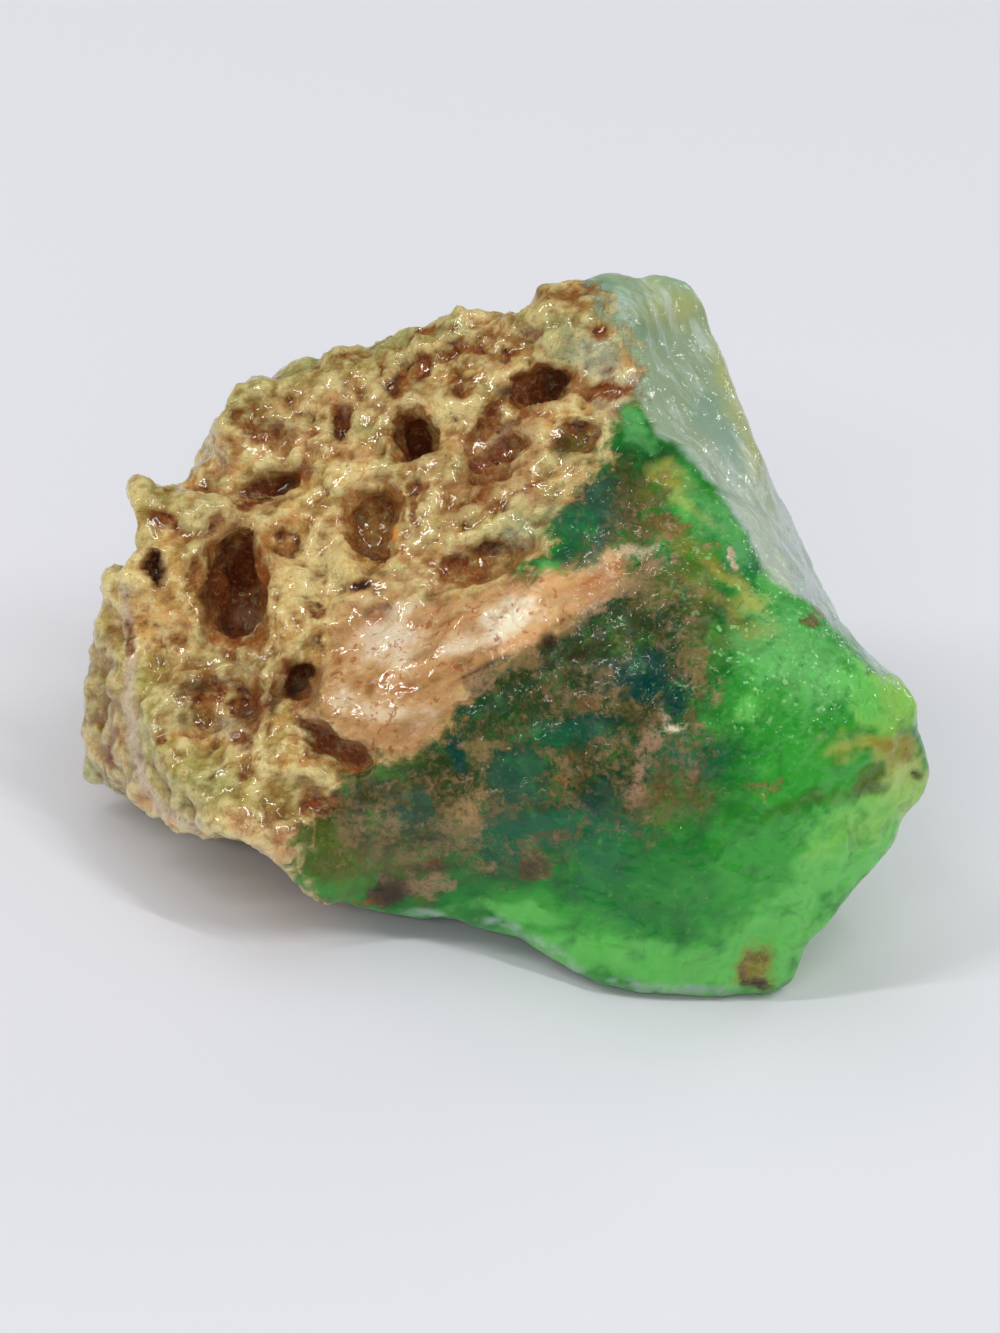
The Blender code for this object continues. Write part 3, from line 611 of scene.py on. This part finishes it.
# broad colours of the crust: colour, across, down, half width, half height, turn, strength
crustMarks = [
    ("crustOlive", 100, 690, 22, 110, 0, 0.9), ("oliveBrown", 112, 745, 18, 26, 0, 0.8),
    ("crustMint", 90, 776, 16, 16, 0, 0.9), ("crustOlive", 152, 512, 34, 34, 0, 0.8),
    ("oliveBrown", 172, 522, 20, 8, 0, 0.8), ("paleOlive", 200, 520, 18, 34, 14, 0.9),
    ("crustGold", 330, 590, 66, 60, 0, 0.9), ("crustCream", 300, 580, 22, 40, 0, 0.7),
    ("crustCream", 330, 610, 26, 30, 0, 0.6), ("crustCream", 325, 560, 16, 40, 0, 0.8),
    ("crustTan", 278, 540, 22, 30, 0, 0.8), ("crustCream", 258, 515, 14, 12, 0, 0.8),
    ("crustGold", 170, 610, 44, 50, 0, 0.8), ("rust", 172, 622, 12, 10, 0, 0.4),
    ("paleOlive", 230, 660, 50, 12, 0, 0.8), ("oliveYellow", 150, 715, 20, 50, 0, 0.7),
    ("oliveBrown", 235, 705, 44, 36, 0, 0.7), ("redBrown", 205, 688, 16, 12, 0, 0.8),
    ("filmTan", 175, 710, 24, 30, 0, 0.4), ("oliveYellow", 200, 776, 60, 30, 10, 0.9),
    # greyMint at 236, 735 is a painted glint
    ("crustMint", 215, 780, 40, 16, 0, 0.7), ("greyMint", 236, 735, 20, 10, 30, 0.6),
    ("oliveBrown", 110, 700, 5, 40, 0, 0.6), ("oliveBrown", 104, 660, 5, 30, 4, 0.6),
    ("oliveBrown", 170, 760, 20, 10, 0, 0.5), ("oliveGreen", 190, 800, 24, 8, 0, 0.5),
    ("oliveGreen", 300, 800, 30, 26, 0, 0.5), ("pinkTan", 258, 828, 40, 18, 35, 0.9),
    ("oliveBrown", 262, 422, 44, 22, 14, 0.8), ("oliveBrown", 232, 450, 20, 12, 0, 0.6),
    # the crustMint band along the top ridge is partly painted glow, where light shines through the thin ridge
    ("crustMint", 330, 350, 130, 16, -17, 1.1), ("crustMint", 222, 400, 30, 20, -60, 1.0),
    ("brightGreen", 310, 362, 12, 4, -17, 0.4), ("brightGreen", 438, 330, 14, 5, -10, 0.4),
    ("crustMint", 425, 332, 60, 14, -6, 1.0), ("crustOlive", 320, 372, 110, 18, -17, 0.8),
    ("crustOlive", 210, 775, 60, 34, 10, 0.5), ("crustOlive", 560, 310, 60, 26, 0, 0.7),
    ("pinkTan", 330, 400, 60, 24, -10, 0.5), ("crustGold", 450, 412, 24, 18, 10, 0.8),
    ("crustCream", 455, 410, 20, 14, 30, 1.0), ("oliveBrown", 392, 440, 12, 36, 0, 0.8),
    ("rust", 415, 402, 16, 8, -20, 0.5), ("warmBrown", 450, 438, 14, 9, 0, 0.7),
    ("warmBrown", 490, 345, 46, 14, -10, 0.6), ("oliveBrown", 480, 345, 60, 24, -10, 0.6),
    ("pinkTan", 500, 470, 50, 40, -50, 0.7), ("warmBrown", 520, 425, 60, 24, -46, 0.95),
    ("pinkTan", 486, 476, 40, 14, -50, 0.8), ("blackGreen", 503, 390, 9, 6, 0, 0.7),
    ("oliveBrown", 578, 446, 24, 22, 0, 0.9), ("mossGreen", 560, 452, 8, 10, 0, 0.7),
    ("crustCream", 604, 444, 9, 22, 24, 1.2), ("greyMint", 520, 530, 18, 14, 0, 0.6),
    ("warmBrown", 606, 392, 34, 9, 2, 0.9), ("crustMint", 578, 345, 44, 32, 0, 1.0),
    ("greyMint", 606, 372, 24, 40, -30, 0.6), ("oliveBrown", 568, 296, 50, 10, 0, 0.8),
    ("oliveBrown", 620, 290, 20, 12, 0, 0.6), ("crustTan", 600, 330, 16, 10, 0, 0.5),
    ("warmBrown", 470, 498, 24, 12, -20, 0.8), ("crustMint", 530, 526, 40, 20, -10, 0.9),
    ("seaGreen", 548, 528, 20, 13, 0, 0.6), ("paleOlive", 440, 520, 40, 24, 0, 0.6),
    ("oliveBrown", 485, 560, 60, 16, -14, 0.8), ("pinkTan", 420, 585, 60, 16, -10, 0.7),
    ("pinkTan", 440, 480, 20, 24, 0, 0.5), ("crustCream", 590, 475, 24, 8, -20, 0.6),
    # slate at 246, 620 is a painted reflection on the floor of the big pit
    ("slate", 246, 620, 16, 12, 20, 0.4),
]


# colours laid over the brown of the hollows, with the same fields as crustMarks
pitMarks = [
    # filmPink at 246, 618 is a painted reflection on the floor of the big pit
    ("redBrown", 240, 575, 16, 36, 0, 0.6), ("filmPink", 246, 618, 16, 9, 20, 0.55),
    ("rust", 262, 570, 6, 36, 0, 0.6), ("rust", 212, 545, 9, 10, 0, 0.5), ("rust", 232, 642, 26, 5, 0, 0.6),
    ("rimBrown", 206, 610, 7, 40, 4, 0.5), ("redBrown", 332, 740, 34, 14, 34, 0.8),
    # pinkTan at 318, 722 is partly a painted highlight on the ledge above the hollow
    ("pinkTan", 318, 722, 26, 6, 34, 0.5), ("redBrown", 540, 384, 28, 10, -10, 0.7),
    ("purpleBrown", 556, 384, 12, 10, 0, 0.5), ("filmPink", 302, 686, 9, 8, 0, 0.6),
    ("redBrown", 416, 436, 12, 16, -20, 0.6), ("rimBrown", 352, 510, 8, 20, 20, 0.6),
    ("oliveBrown", 374, 530, 18, 26, 0, 0.5), ("redBrown", 255, 492, 20, 6, -24, 0.6),
    ("filmPink", 500, 440, 30, 8, -46, 0.5), ("redBrown", 496, 452, 26, 6, -46, 0.5),
    ("filmPink", 536, 500, 16, 8, 20, 0.5), ("oliveGreen", 575, 446, 20, 16, 0, 0.6),
    ("crustCream", 606, 438, 6, 16, 24, 0.8),
]


# the pale seams down the left end, as points on the drawing sheet
leftSeams = [
    [(122, 590), (128, 625), (131, 660), (128, 700), (131, 745), (143, 785), (162, 812), (197, 826)],
    [(255, 850), (285, 885), (308, 906)],
]


def crustTint(places, zones, hollow):
    across, down, seen = zones["across"], zones["down"], zones["seen"]
    tone = fractalAt(places, 2.4, 51, 5)
    slow = fractalAt(places, 7.0, 52, 3)
    wander = fractalAt(places, 3.0, 53, 4)
    blots = fractalAt(places, 1.2, 54, 4)
    hue = fractalAt(places, 3.6, 55, 4)
    colours = plain("crustTan", places)
    washOver(colours, "crustGold", smoothStep(0.5 + 1.4 * tone))
    washOver(colours, "crustOlive", 0.6 * smoothStep(0.1 + 2.0 * hue))
    washOver(colours, "pinkTan", 0.6 * smoothStep(-2.0 * hue))
    hidden = 1.0 - 0.7 * seen
    washOver(colours, "crustOlive", hidden * smoothStep(0.2 + 1.6 * slow))
    washOver(colours, "crustMint", 0.6 * hidden * smoothStep(-0.1 - 1.6 * slow))
    washOver(colours, "oliveBrown", 0.6 * (1.0 - seen) * smoothStep(-0.1 + 2.6 * slow))
    # cream over the grain, strongest on ridges and crests: partly the crust's own cream, partly painted
    # highlight
    washOver(colours, "crustCream", 0.75 * smoothStep(0.02 + 1.0 * blots + 0.7 * tone - 1.5 * hollow))
    washOver(colours, "crustMint", 0.4 * smoothStep(-0.15 + 2.4 * slow + 0.8 * blots))
    washOver(colours, "oliveBrown", 0.55 * smoothStep(-0.05 + 2.2 * wander - 0.6 * blots))
    layMarks(colours, crustMarks, zones["looseAcross"], zones["looseDown"], 0.3 * blots, 0.5 * wander, 0.9,
             0.8 * seen)
    # painted highlight: more cream on the ridges, none in the hollows
    washOver(colours, "crustCream", 0.45 * smoothStep(1.4 * blots - 2.0 * hollow))
    for stroke in leftSeams:
        washOver(colours, "pinkCream", 0.85 * seen * alongStroke(across, down, stroke, 6.0))
    brown = zones["brown"] + 0.22 * zones["pores"] + 0.12 * zones["smallPores"]
    # brown stains of the hollows and pores, plus painted shade that darkens the crust the deeper a point lies
    # under the smoothed shape
    stainAndCavityShade = brown * 1.15 + np.clip(hollow, -0.5, 1.0) * 0.75 - 0.6 * tone - 0.5 * blots
    for name, low, high in (("oliveBrown", 0.02, 0.9), ("warmBrown", 0.4, 1.25), ("pitBrown", 0.85, 1.6)):
        washOver(colours, name, 0.9 * smoothStep((stainAndCavityShade - low) / (high - low)))
    washOver(colours, "rimBrown", 0.85 * zones["rim"] * smoothStep(0.6 + 1.2 * blots))
    # painted shade: the deepest hollows darkened towards near black
    washOver(colours, "spotAndShadeBrown", 0.5 * smoothStep((hollow - 0.45) / 0.6))
    layMarks(colours, pitMarks, across, down, 0.4 * blots, 0.5 * wander, 0.9, seen)
    washOver(colours, "orange", seen * inOvals(across, down, [(394, 534, 5, 7, 0, 1.0)]))
    return colours


# where the vein is bright and where it is stained, with the fields that inOvals takes
veinGlow = [
    (505, 622, 40, 16, -34, 1.4), (462, 644, 40, 13, -26, 0.8), (388, 638, 40, 34, -20, 0.95),
    (402, 608, 40, 9, -10, 0.8), (345, 700, 15, 18, 30, 0.8), (384, 712, 44, 14, 6, 0.75),
    (560, 604, 34, 9, -24, 0.5), (612, 584, 30, 7, -22, 0.4), (362, 602, 22, 8, 0, 0.6),
    (425, 716, 20, 10, 0, 0.5),
]
veinStains = [
    # the stains at 430, 681 and 528, 656 along the vein's lower edge are partly painted shadow under its
    # overhanging lip
    (430, 681, 46, 7, -12, 1.0), (450, 622, 40, 7, -20, 0.5), (576, 592, 50, 12, -20, 0.7),
    (373, 690, 5, 12, 10, 0.9), (336, 664, 6, 16, 0, 0.6), (528, 656, 46, 8, -28, 1.0),
    (500, 582, 70, 12, -12, 1.0), (600, 572, 30, 10, -20, 0.6), (364, 587, 14, 7, -8, 1.3),
    (378, 612, 15, 9, -20, 1.2), (400, 598, 8, 5, 0, 0.9), (440, 600, 30, 10, -10, 0.8),
    (420, 655, 20, 6, -30, 0.6), (458, 730, 6, 24, 10, 0.8), (400, 748, 50, 6, 0, 0.6),
]


def streaksAt(zones, length, width, turn, seed):
    # noise drawn out along one way on the drawing sheet
    along, beside = turned(zones["across"], zones["down"], turn)
    return fractalAt(np.stack([along / length, beside / width, np.zeros(len(along))], 1), 1.0, seed, 5)


def veinTint(places, zones):
    tone = streaksAt(zones, 60.0, 16.0, -24.0, 61)
    fine = streaksAt(zones, 22.0, 5.0, -30.0, 62)
    fleck = fractalAt(places, 0.9, 63, 3)
    drawn = 0.35 + 0.65 * smoothStep((zones["across"] - 400.0) / 120.0)
    colours = plain("veinTan", places)
    washOver(colours, "veinPeach", smoothStep(0.55 + 1.2 * tone * drawn + 0.4 * fleck))
    bright = inLooseOvals(zones, veinGlow)
    glow = 1.1 * bright + (0.45 * tone + 0.3 * fine) * drawn + 0.35 * fleck
    washOver(colours, "veinPale", smoothStep(0.05 + 1.1 * glow))
    washOver(colours, "veinCream", smoothStep((glow - 0.45) / 0.75))
    stain = inLooseOvals(zones, veinStains)
    washOver(colours, "oliveBrown", 0.8 * smoothStep(stain * (0.8 + 1.4 * tone) + 0.5 * fine - 0.25))
    washOver(colours, "rust", 0.6 * smoothStep(stain * (0.5 - 1.4 * tone) + 0.8 * fleck - 0.15))
    washOver(colours, "rust", 0.35 * smoothStep(3.0 * (fine - 0.16)) * smoothStep(1.0 - 1.2 * bright))
    return colours


def brokenTint(places, zones):
    slow = fractalAt(places, 6.0, 71, 3)
    colours = plain("mint", places)
    washOver(colours, "greyMint", smoothStep((zones["down"] - 360.0) / 220.0) + 0.3 * slow)
    washOver(colours, "crustMint", 0.35 * smoothStep(0.3 + 2.0 * slow))
    washOver(colours, "deepMint", 0.35 * zones["seen"] * inLooseOvals(zones, [(690, 400, 50, 70, -24, 1.0)]))
    washOver(colours, "oliveYellow", 0.55 * zones["seen"] * inLooseOvals(zones, [
        (668, 306, 32, 22, 10, 0.9), (735, 390, 14, 60, -20, 0.9), (755, 450, 14, 40, -10, 0.9),
        (700, 300, 14, 20, 0, 0.6)]))
    return colours


def fibrePlaces(places, outward, zones):
    # a way of laying stretched streaks down the broken face
    right, up, forward = viewAxes
    face = np.average(outward, axis=0, weights=zones["broken"] * zones["seen"] + 1e-6)
    face /= np.linalg.norm(face)
    slant = 0.55 * right - 0.83 * up
    slant -= forward * (slant @ face) / (forward @ face)
    slant /= np.linalg.norm(slant)
    side = np.cross(face, slant)
    return np.stack([places @ slant * 0.28, places @ side, places @ face * 0.5], 1) * millimetre


def paintStone(skin, zones):
    mesh = skin.data
    places, outward = meshArrays(mesh)
    rounded, calm = smoothedShape(skin, fineSkin["calmPasses"])
    broad, _ = smoothedShape(skin, fineSkin["broadPasses"])
    # how far each point lies under the smoothed shape, in mm
    fineHollow = np.einsum("ij,ij->i", rounded - places, outward)
    wideHollow = np.einsum("ij,ij->i", broad - places, outward)
    storeVector(mesh, "calmNormal", calm)
    film, amount = filmTint(places, zones)
    storeColour(mesh, "bodyTint", bodyTint(places, zones))
    storeColour(mesh, "filmTint", film)
    # the crust's depth under the smoothed shapes sets painted shade in its hollows and painted highlight on
    # its ridges
    storeColour(mesh, "crustTint", crustTint(places, zones, 4.0 * fineHollow + 0.5 * wideHollow))
    storeColour(mesh, "veinTint", veinTint(places, zones))
    storeColour(mesh, "brokenTint", brokenTint(places, zones))
    storeVector(mesh, "fibrePlace", fibrePlaces(places, outward, zones))
    store(mesh, "film", amount)
    store(mesh, "spot", zones["seen"] * inOvals(zones["across"], zones["down"], darkSpotsAndShadow))
    for name in ("crust", "broken", "vein", "sparkle"):
        store(mesh, name, zones[name])
    # how far each point stands out above the smoothed shape; the green is painted paler there as painted glow
    # of light through thin glassy edges
    store(mesh, "edge", np.clip(-fineHollow * 3.0, 0, 1))
    print("stone painted")


def fill(node, values):
    for name, value in values.items():
        node.inputs[name].default_value = value


class NodeDesk:
    # a short way to lay out shader nodes

    def __init__(self, material):
        material.use_nodes = True
        self.tree = material.node_tree
        self.shader = self.tree.nodes["Principled BSDF"]
        self.place = self.make("TexCoord").outputs["Object"]

    def make(self, kind):
        return self.tree.nodes.new("ShaderNode" + kind)

    def wire(self, source, socket):
        if isinstance(source, (int, float)):
            socket.default_value = source
        elif isinstance(source, tuple):
            socket.default_value = (*source, 1.0)
        else:
            self.tree.links.new(source, socket)

    def attribute(self, name, output):
        node = self.make("Attribute")
        node.attribute_name = name
        return node.outputs[output]

    def mask(self, name):
        return self.attribute(name, "Fac")

    def tint(self, name):
        return self.attribute(name, "Color")

    def speckle(self, size, detail=4.0, roughness=0.55, distortion=0.0, seed=0.0, place=None):
        shift = self.make("VectorMath")
        shift.operation = "ADD"
        shift.inputs[1].default_value = (seed * 0.137, seed * 0.071, seed * 0.053)
        self.wire(place or self.place, shift.inputs[0])
        node = self.make("TexNoise")
        fill(node, {"Scale": 1000.0 / size, "Detail": detail, "Roughness": roughness,
                    "Distortion": distortion})
        self.wire(shift.outputs[0], node.inputs["Vector"])
        return node.outputs["Fac"]

    def sum(self, a, b, how="ADD"):
        node = self.make("Math")
        node.operation = how
        self.wire(a, node.inputs[0])
        self.wire(b, node.inputs[1])
        return node.outputs[0]

    def times(self, a, b):
        return self.sum(a, b, "MULTIPLY")

    def flip(self, value):
        return self.sum(1.0, value, "SUBTRACT")

    def wash(self, under, name, value, low, high, top=1.0):
        # lays a named colour over another where value runs from low to high
        return self.blend(self.between(value, low, high, top), under, linear(name))

    def between(self, value, low, high, top=1.0):
        # 0 at low, top at high, smooth
        node = self.make("MapRange")
        node.interpolation_type = "SMOOTHSTEP"
        self.wire(value, node.inputs["Value"])
        fill(node, {"From Min": low, "From Max": high, "To Max": top})
        return node.outputs["Result"]

    def mix(self, kind, share, first, second):
        node = self.make("Mix")
        node.data_type = kind
        node.clamp_factor = True
        self.wire(share, node.inputs["Factor"])
        wanted = "VALUE" if kind == "FLOAT" else kind
        sockets = [socket for socket in node.inputs if socket.type == wanted]
        self.wire(first, sockets[-2])
        self.wire(second, sockets[-1])
        return next(socket for socket in node.outputs if socket.type == wanted)

    def blend(self, share, first, second):
        return self.mix("RGBA", share, first, second)

    def mixNumber(self, share, first, second):
        return self.mix("FLOAT", share, first, second)

    def worldNormal(self, name):
        node = self.make("VectorTransform")
        node.vector_type = "NORMAL"
        node.convert_from, node.convert_to = "OBJECT", "WORLD"
        self.wire(self.attribute(name, "Vector"), node.inputs[0])
        return node.outputs[0]

    def bump(self, height, strength, distance, normal=None):
        node = self.make("Bump")
        if normal:
            self.wire(normal, node.inputs["Normal"])
        fill(node, {"Strength": strength, "Distance": distance * millimetre})
        self.wire(height, node.inputs["Height"])
        return node.outputs["Normal"]


def edgeOf(desk, mask, speckle, spread, softness=0.1):
    # breaks up a soft mask's edge with a speckle
    level = 0.5 + spread * 0.5
    return desk.between(desk.sum(mask, desk.times(speckle, spread)), level - softness, level + softness)


def greenLook(desk):
    cloud = desk.speckle(2.4, 6.0, 0.6, 0.8, 2)
    grain = desk.speckle(0.5, 4.0, 0.6, 0.0, 15)
    body = desk.tint("bodyTint")
    body = desk.wash(body, "brightGreen", cloud, 0.5, 0.7, 0.3)
    body = desk.wash(body, "darkGreen", desk.flip(cloud), 0.5, 0.7, 0.34)
    body = desk.wash(body, "lime", grain, 0.6, 0.75, 0.25)
    # pale flecks in the sparkle zone: pale chips in the stone, and partly painted glints
    chips = desk.between(desk.speckle(0.6, 2.0, 0.5, 0.0, 19), 0.62, 0.7)
    gaps = desk.between(desk.speckle(0.9, 3.0, 0.55, 0.6, 20), 0.56, 0.66)
    body = desk.blend(desk.times(desk.times(gaps, desk.mask("sparkle")), 0.5), body, linear("emerald"))
    body = desk.blend(desk.times(desk.times(chips, desk.mask("sparkle")), 0.5), body, linear("chipAndGlintMint"))
    # convex edges painted paler: painted glow where light shines through the thin edges
    return desk.blend(desk.times(desk.mask("edge"), 0.3), body, linear("crustMint"))


def filmLook(desk, body):
    fibre = desk.speckle(0.6, 8.0, 0.74, 0.5, 3)
    patch = desk.speckle(2.6, 8.0, 0.72, 1.0, 16)
    grain = desk.speckle(0.4, 6.0, 0.72, 0.5, 4)
    crumb = desk.speckle(0.9, 6.0, 0.66, 0.4, 22)
    veil = desk.speckle(1.3, 8.0, 0.72, 1.4, 23)
    amount = desk.sum(desk.sum(desk.mask("film"), fibre), desk.times(patch, 0.7))
    under = desk.wash(body, "mossGreen", grain, 0.46, 0.66, 0.55)
    under = desk.wash(under, "veilTeal", veil, 0.52, 0.68, 0.45)
    body = desk.blend(desk.between(desk.mask("film"), -0.25, 0.0), body, under)
    colour = desk.wash(desk.tint("filmTint"), "filmPink", crumb, 0.48, 0.66, 0.6)
    colour = desk.wash(colour, "filmTan", grain, 0.5, 0.68, 0.6)
    colour = desk.wash(colour, "mossGreen", desk.flip(grain), 0.48, 0.66, 0.65)
    return desk.blend(desk.between(amount, 0.72, 0.98, 0.82), body, colour)


def crustLook(desk):
    grain = desk.speckle(0.45, 7.0, 0.7, 0.4, 6)
    blot = desk.speckle(1.1, 7.0, 0.66, 0.8, 5)
    coat = desk.tint("crustTint")
    coat = desk.wash(coat, "rimBrown", blot, 0.48, 0.74, 0.45)
    coat = desk.wash(coat, "crustMint", desk.flip(blot), 0.5, 0.74, 0.35)
    coat = desk.wash(coat, "crustCream", grain, 0.5, 0.7, 0.3)
    coat = desk.wash(coat, "warmBrown", desk.flip(grain), 0.5, 0.7, 0.5)
    prick = desk.speckle(0.42, 2.0, 0.5, 0.3, 18)
    return desk.wash(coat, "pitBrown", prick, 0.68, 0.74, 0.45)


def veinLook(desk, under):
    streak = desk.speckle(2.2, 7.0, 0.66, 1.2, 8)
    fleck = desk.speckle(0.7, 4.0, 0.6, 0.5, 9)
    colour = desk.wash(desk.tint("veinTint"), "veinPeach", streak, 0.52, 0.66, 0.4)
    mottle = desk.speckle(1.5, 8.0, 0.74, 1.0, 24)
    colour = desk.wash(colour, "veinTan", mottle, 0.5, 0.64, 0.3)
    colour = desk.wash(colour, "veinCream", desk.flip(mottle), 0.52, 0.68, 0.4)
    colour = desk.wash(colour, "rust", fleck, 0.57, 0.66, 0.7)
    return desk.blend(edgeOf(desk, desk.mask("vein"), streak, 1.0, 0.28), under, colour)


def brokenLook(desk):
    fibre = desk.attribute("fibrePlace", "Vector")
    streak = desk.speckle(1.1, 6.0, 0.62, 0.6, 10, fibre)
    shade = desk.speckle(2.6, 5.0, 0.6, 0.4, 11, fibre)
    colour = desk.wash(desk.tint("brokenTint"), "deepMint", shade, 0.5, 0.7, 0.35)
    return desk.wash(colour, "paleStreak", streak, 0.48, 0.76, 0.6)


wetGloss = {
    "IOR": 1.5,
    "Specular IOR Level": 0.2,
    "Subsurface Radius": (0.45, 1.0, 0.4),
    "Subsurface Scale": 0.0022,     # metres
    "Coat Roughness": 0.09,
    "Coat IOR": 1.5,
}


def stoneFinish():
    material = bpy.data.materials.new("wetStone")
    desk = NodeDesk(material)
    shader = desk.shader
    fill(shader, wetGloss)
    fray = desk.speckle(2.0, 5.0, 0.58, 0.4, 12)
    crust = edgeOf(desk, desk.mask("crust"), fray, 1.8, 0.18)
    broken = edgeOf(desk, desk.mask("broken"), fray, 1.0, 0.32)
    body = desk.blend(broken, greenLook(desk), brokenLook(desk))
    body = filmLook(desk, body)
    colour = desk.blend(crust, body, crustLook(desk))
    colour = veinLook(desk, colour)
    # dark spots, partly painted shadow under the vein's lip and in the pit walls
    colour = desk.blend(desk.times(desk.mask("spot"), 0.9), colour, linear("spotAndShadeBrown"))
    desk.wire(colour, shader.inputs["Base Color"])
    wetness = desk.between(fray, 0.4, 0.62)
    rough = desk.mixNumber(crust, desk.mixNumber(wetness, 0.3, 0.42), desk.mixNumber(wetness, 0.34, 0.5))
    desk.wire(rough, shader.inputs["Roughness"])
    glow = desk.mixNumber(crust, 0.55, 0.25)
    desk.wire(desk.mixNumber(desk.mask("vein"), glow, 0.45), shader.inputs["Subsurface Weight"])
    calm = desk.between(desk.mask("film"), -0.4, -0.12)
    desk.wire(desk.mixNumber(crust, desk.mixNumber(calm, 0.6, 0.35), 1.0), shader.inputs["Coat Weight"])
    grit = desk.speckle(0.45, 5.0, 0.6, 0.2, 13)
    dents = desk.speckle(1.5, 5.0, 0.55, 0.3, 14)
    height = desk.mixNumber(crust, desk.times(dents, 0.35), desk.sum(grit, dents))
    wet = desk.speckle(1.6, 1.6, 0.5, 0.4, 17)
    desk.wire(desk.bump(height, 1.0, 0.45), shader.inputs["Normal"])
    facets = desk.times(desk.times(desk.speckle(0.7, 1.0, 0.5, 0.0, 21), desk.mask("sparkle")), 0.9)
    ripple = desk.mixNumber(crust, desk.sum(wet, facets), desk.times(wet, 0.5))
    desk.wire(desk.bump(ripple, 1.0, 0.75, desk.worldNormal("calmNormal")), shader.inputs["Coat Normal"])
    return material


def makeStone():
    skin, zones = makeFineSkin(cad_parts["chrysoprase_stone"], "chrysoprase", fineSkin)
    paintStone(skin, zones)
    skin.data.materials.append(stoneFinish())
    for polygon in skin.data.polygons:
        polygon.use_smooth = True
    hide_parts("chrysoprase_stone")
    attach(skin, "root")
    print("stone finished")


# the table is in metres
studio = {
    "tableSize": 3.0,
    "tableLevel": -0.0002,
    "tableRoughness": 0.6,
    "tableColour": (0.785, 0.79, 0.83),
    "skyColour": (0.96, 0.97, 1.0),
    "skyStrength": 0.37,
}


def addTable(setup):
    bpy.ops.mesh.primitive_plane_add(size=setup["tableSize"], location=(0, 0, setup["tableLevel"]))
    table = bpy.context.object
    table.name = "paleTable"
    material = bpy.data.materials.new("paleTable")
    material.use_nodes = True
    shader = material.node_tree.nodes["Principled BSDF"]
    fill(shader, {"Base Color": (*setup["tableColour"], 1.0), "Roughness": setup["tableRoughness"]})
    table.data.materials.append(material)


# name: place in metres, size in metres, watts, whether it shows as a glint on wet skin
softLights = {
    "overheadBox": ((-0.3, 0.3, 0.9), (0.8, 0.8), 2.1, False),
    "frontFill": ((0.3, -0.85, 0.4), (0.8, 0.8), 0.9, False),
    "leftStrip": ((-0.66, -0.32, 0.82), (0.045, 0.62), 2.9, True),
    "rightStrip": ((0.46, -0.19, 0.98), (0.045, 0.62), 2.7, True),
    "frontStrip": ((-0.19, -0.88, 0.63), (0.62, 0.05), 1.6, False),
    "backStrip": ((0.66, 0.77, 0.43), (0.6, 0.05), 1.6, True),
}


lightAim = Vector((0, 0, 0.02))


def addLights(lights):
    for name, (place, size, watts, shines) in lights.items():
        light = bpy.data.lights.new(name, "AREA")
        light.shape = "RECTANGLE"
        light.size, light.size_y = size
        light.energy = watts
        holder = bpy.data.objects.new(name, light)
        holder.location = place
        holder.rotation_euler = (lightAim - holder.location).to_track_quat("-Z", "Y").to_euler()
        holder.visible_glossy = shines
        bpy.context.scene.collection.objects.link(holder)


def addSky(setup):
    world = bpy.data.worlds.new("paleRoom")
    bpy.context.scene.world = world
    world.use_nodes = True
    world.cycles_visibility.glossy = False
    background = world.node_tree.nodes["Background"]
    fill(background, {"Color": (*setup["skyColour"], 1.0), "Strength": setup["skyStrength"]})


bpy.context.scene.view_settings.view_transform = "Standard"
addCamera(cameraSetup)
makeStone()
addTable(studio)
addLights(softLights)
addSky(studio)
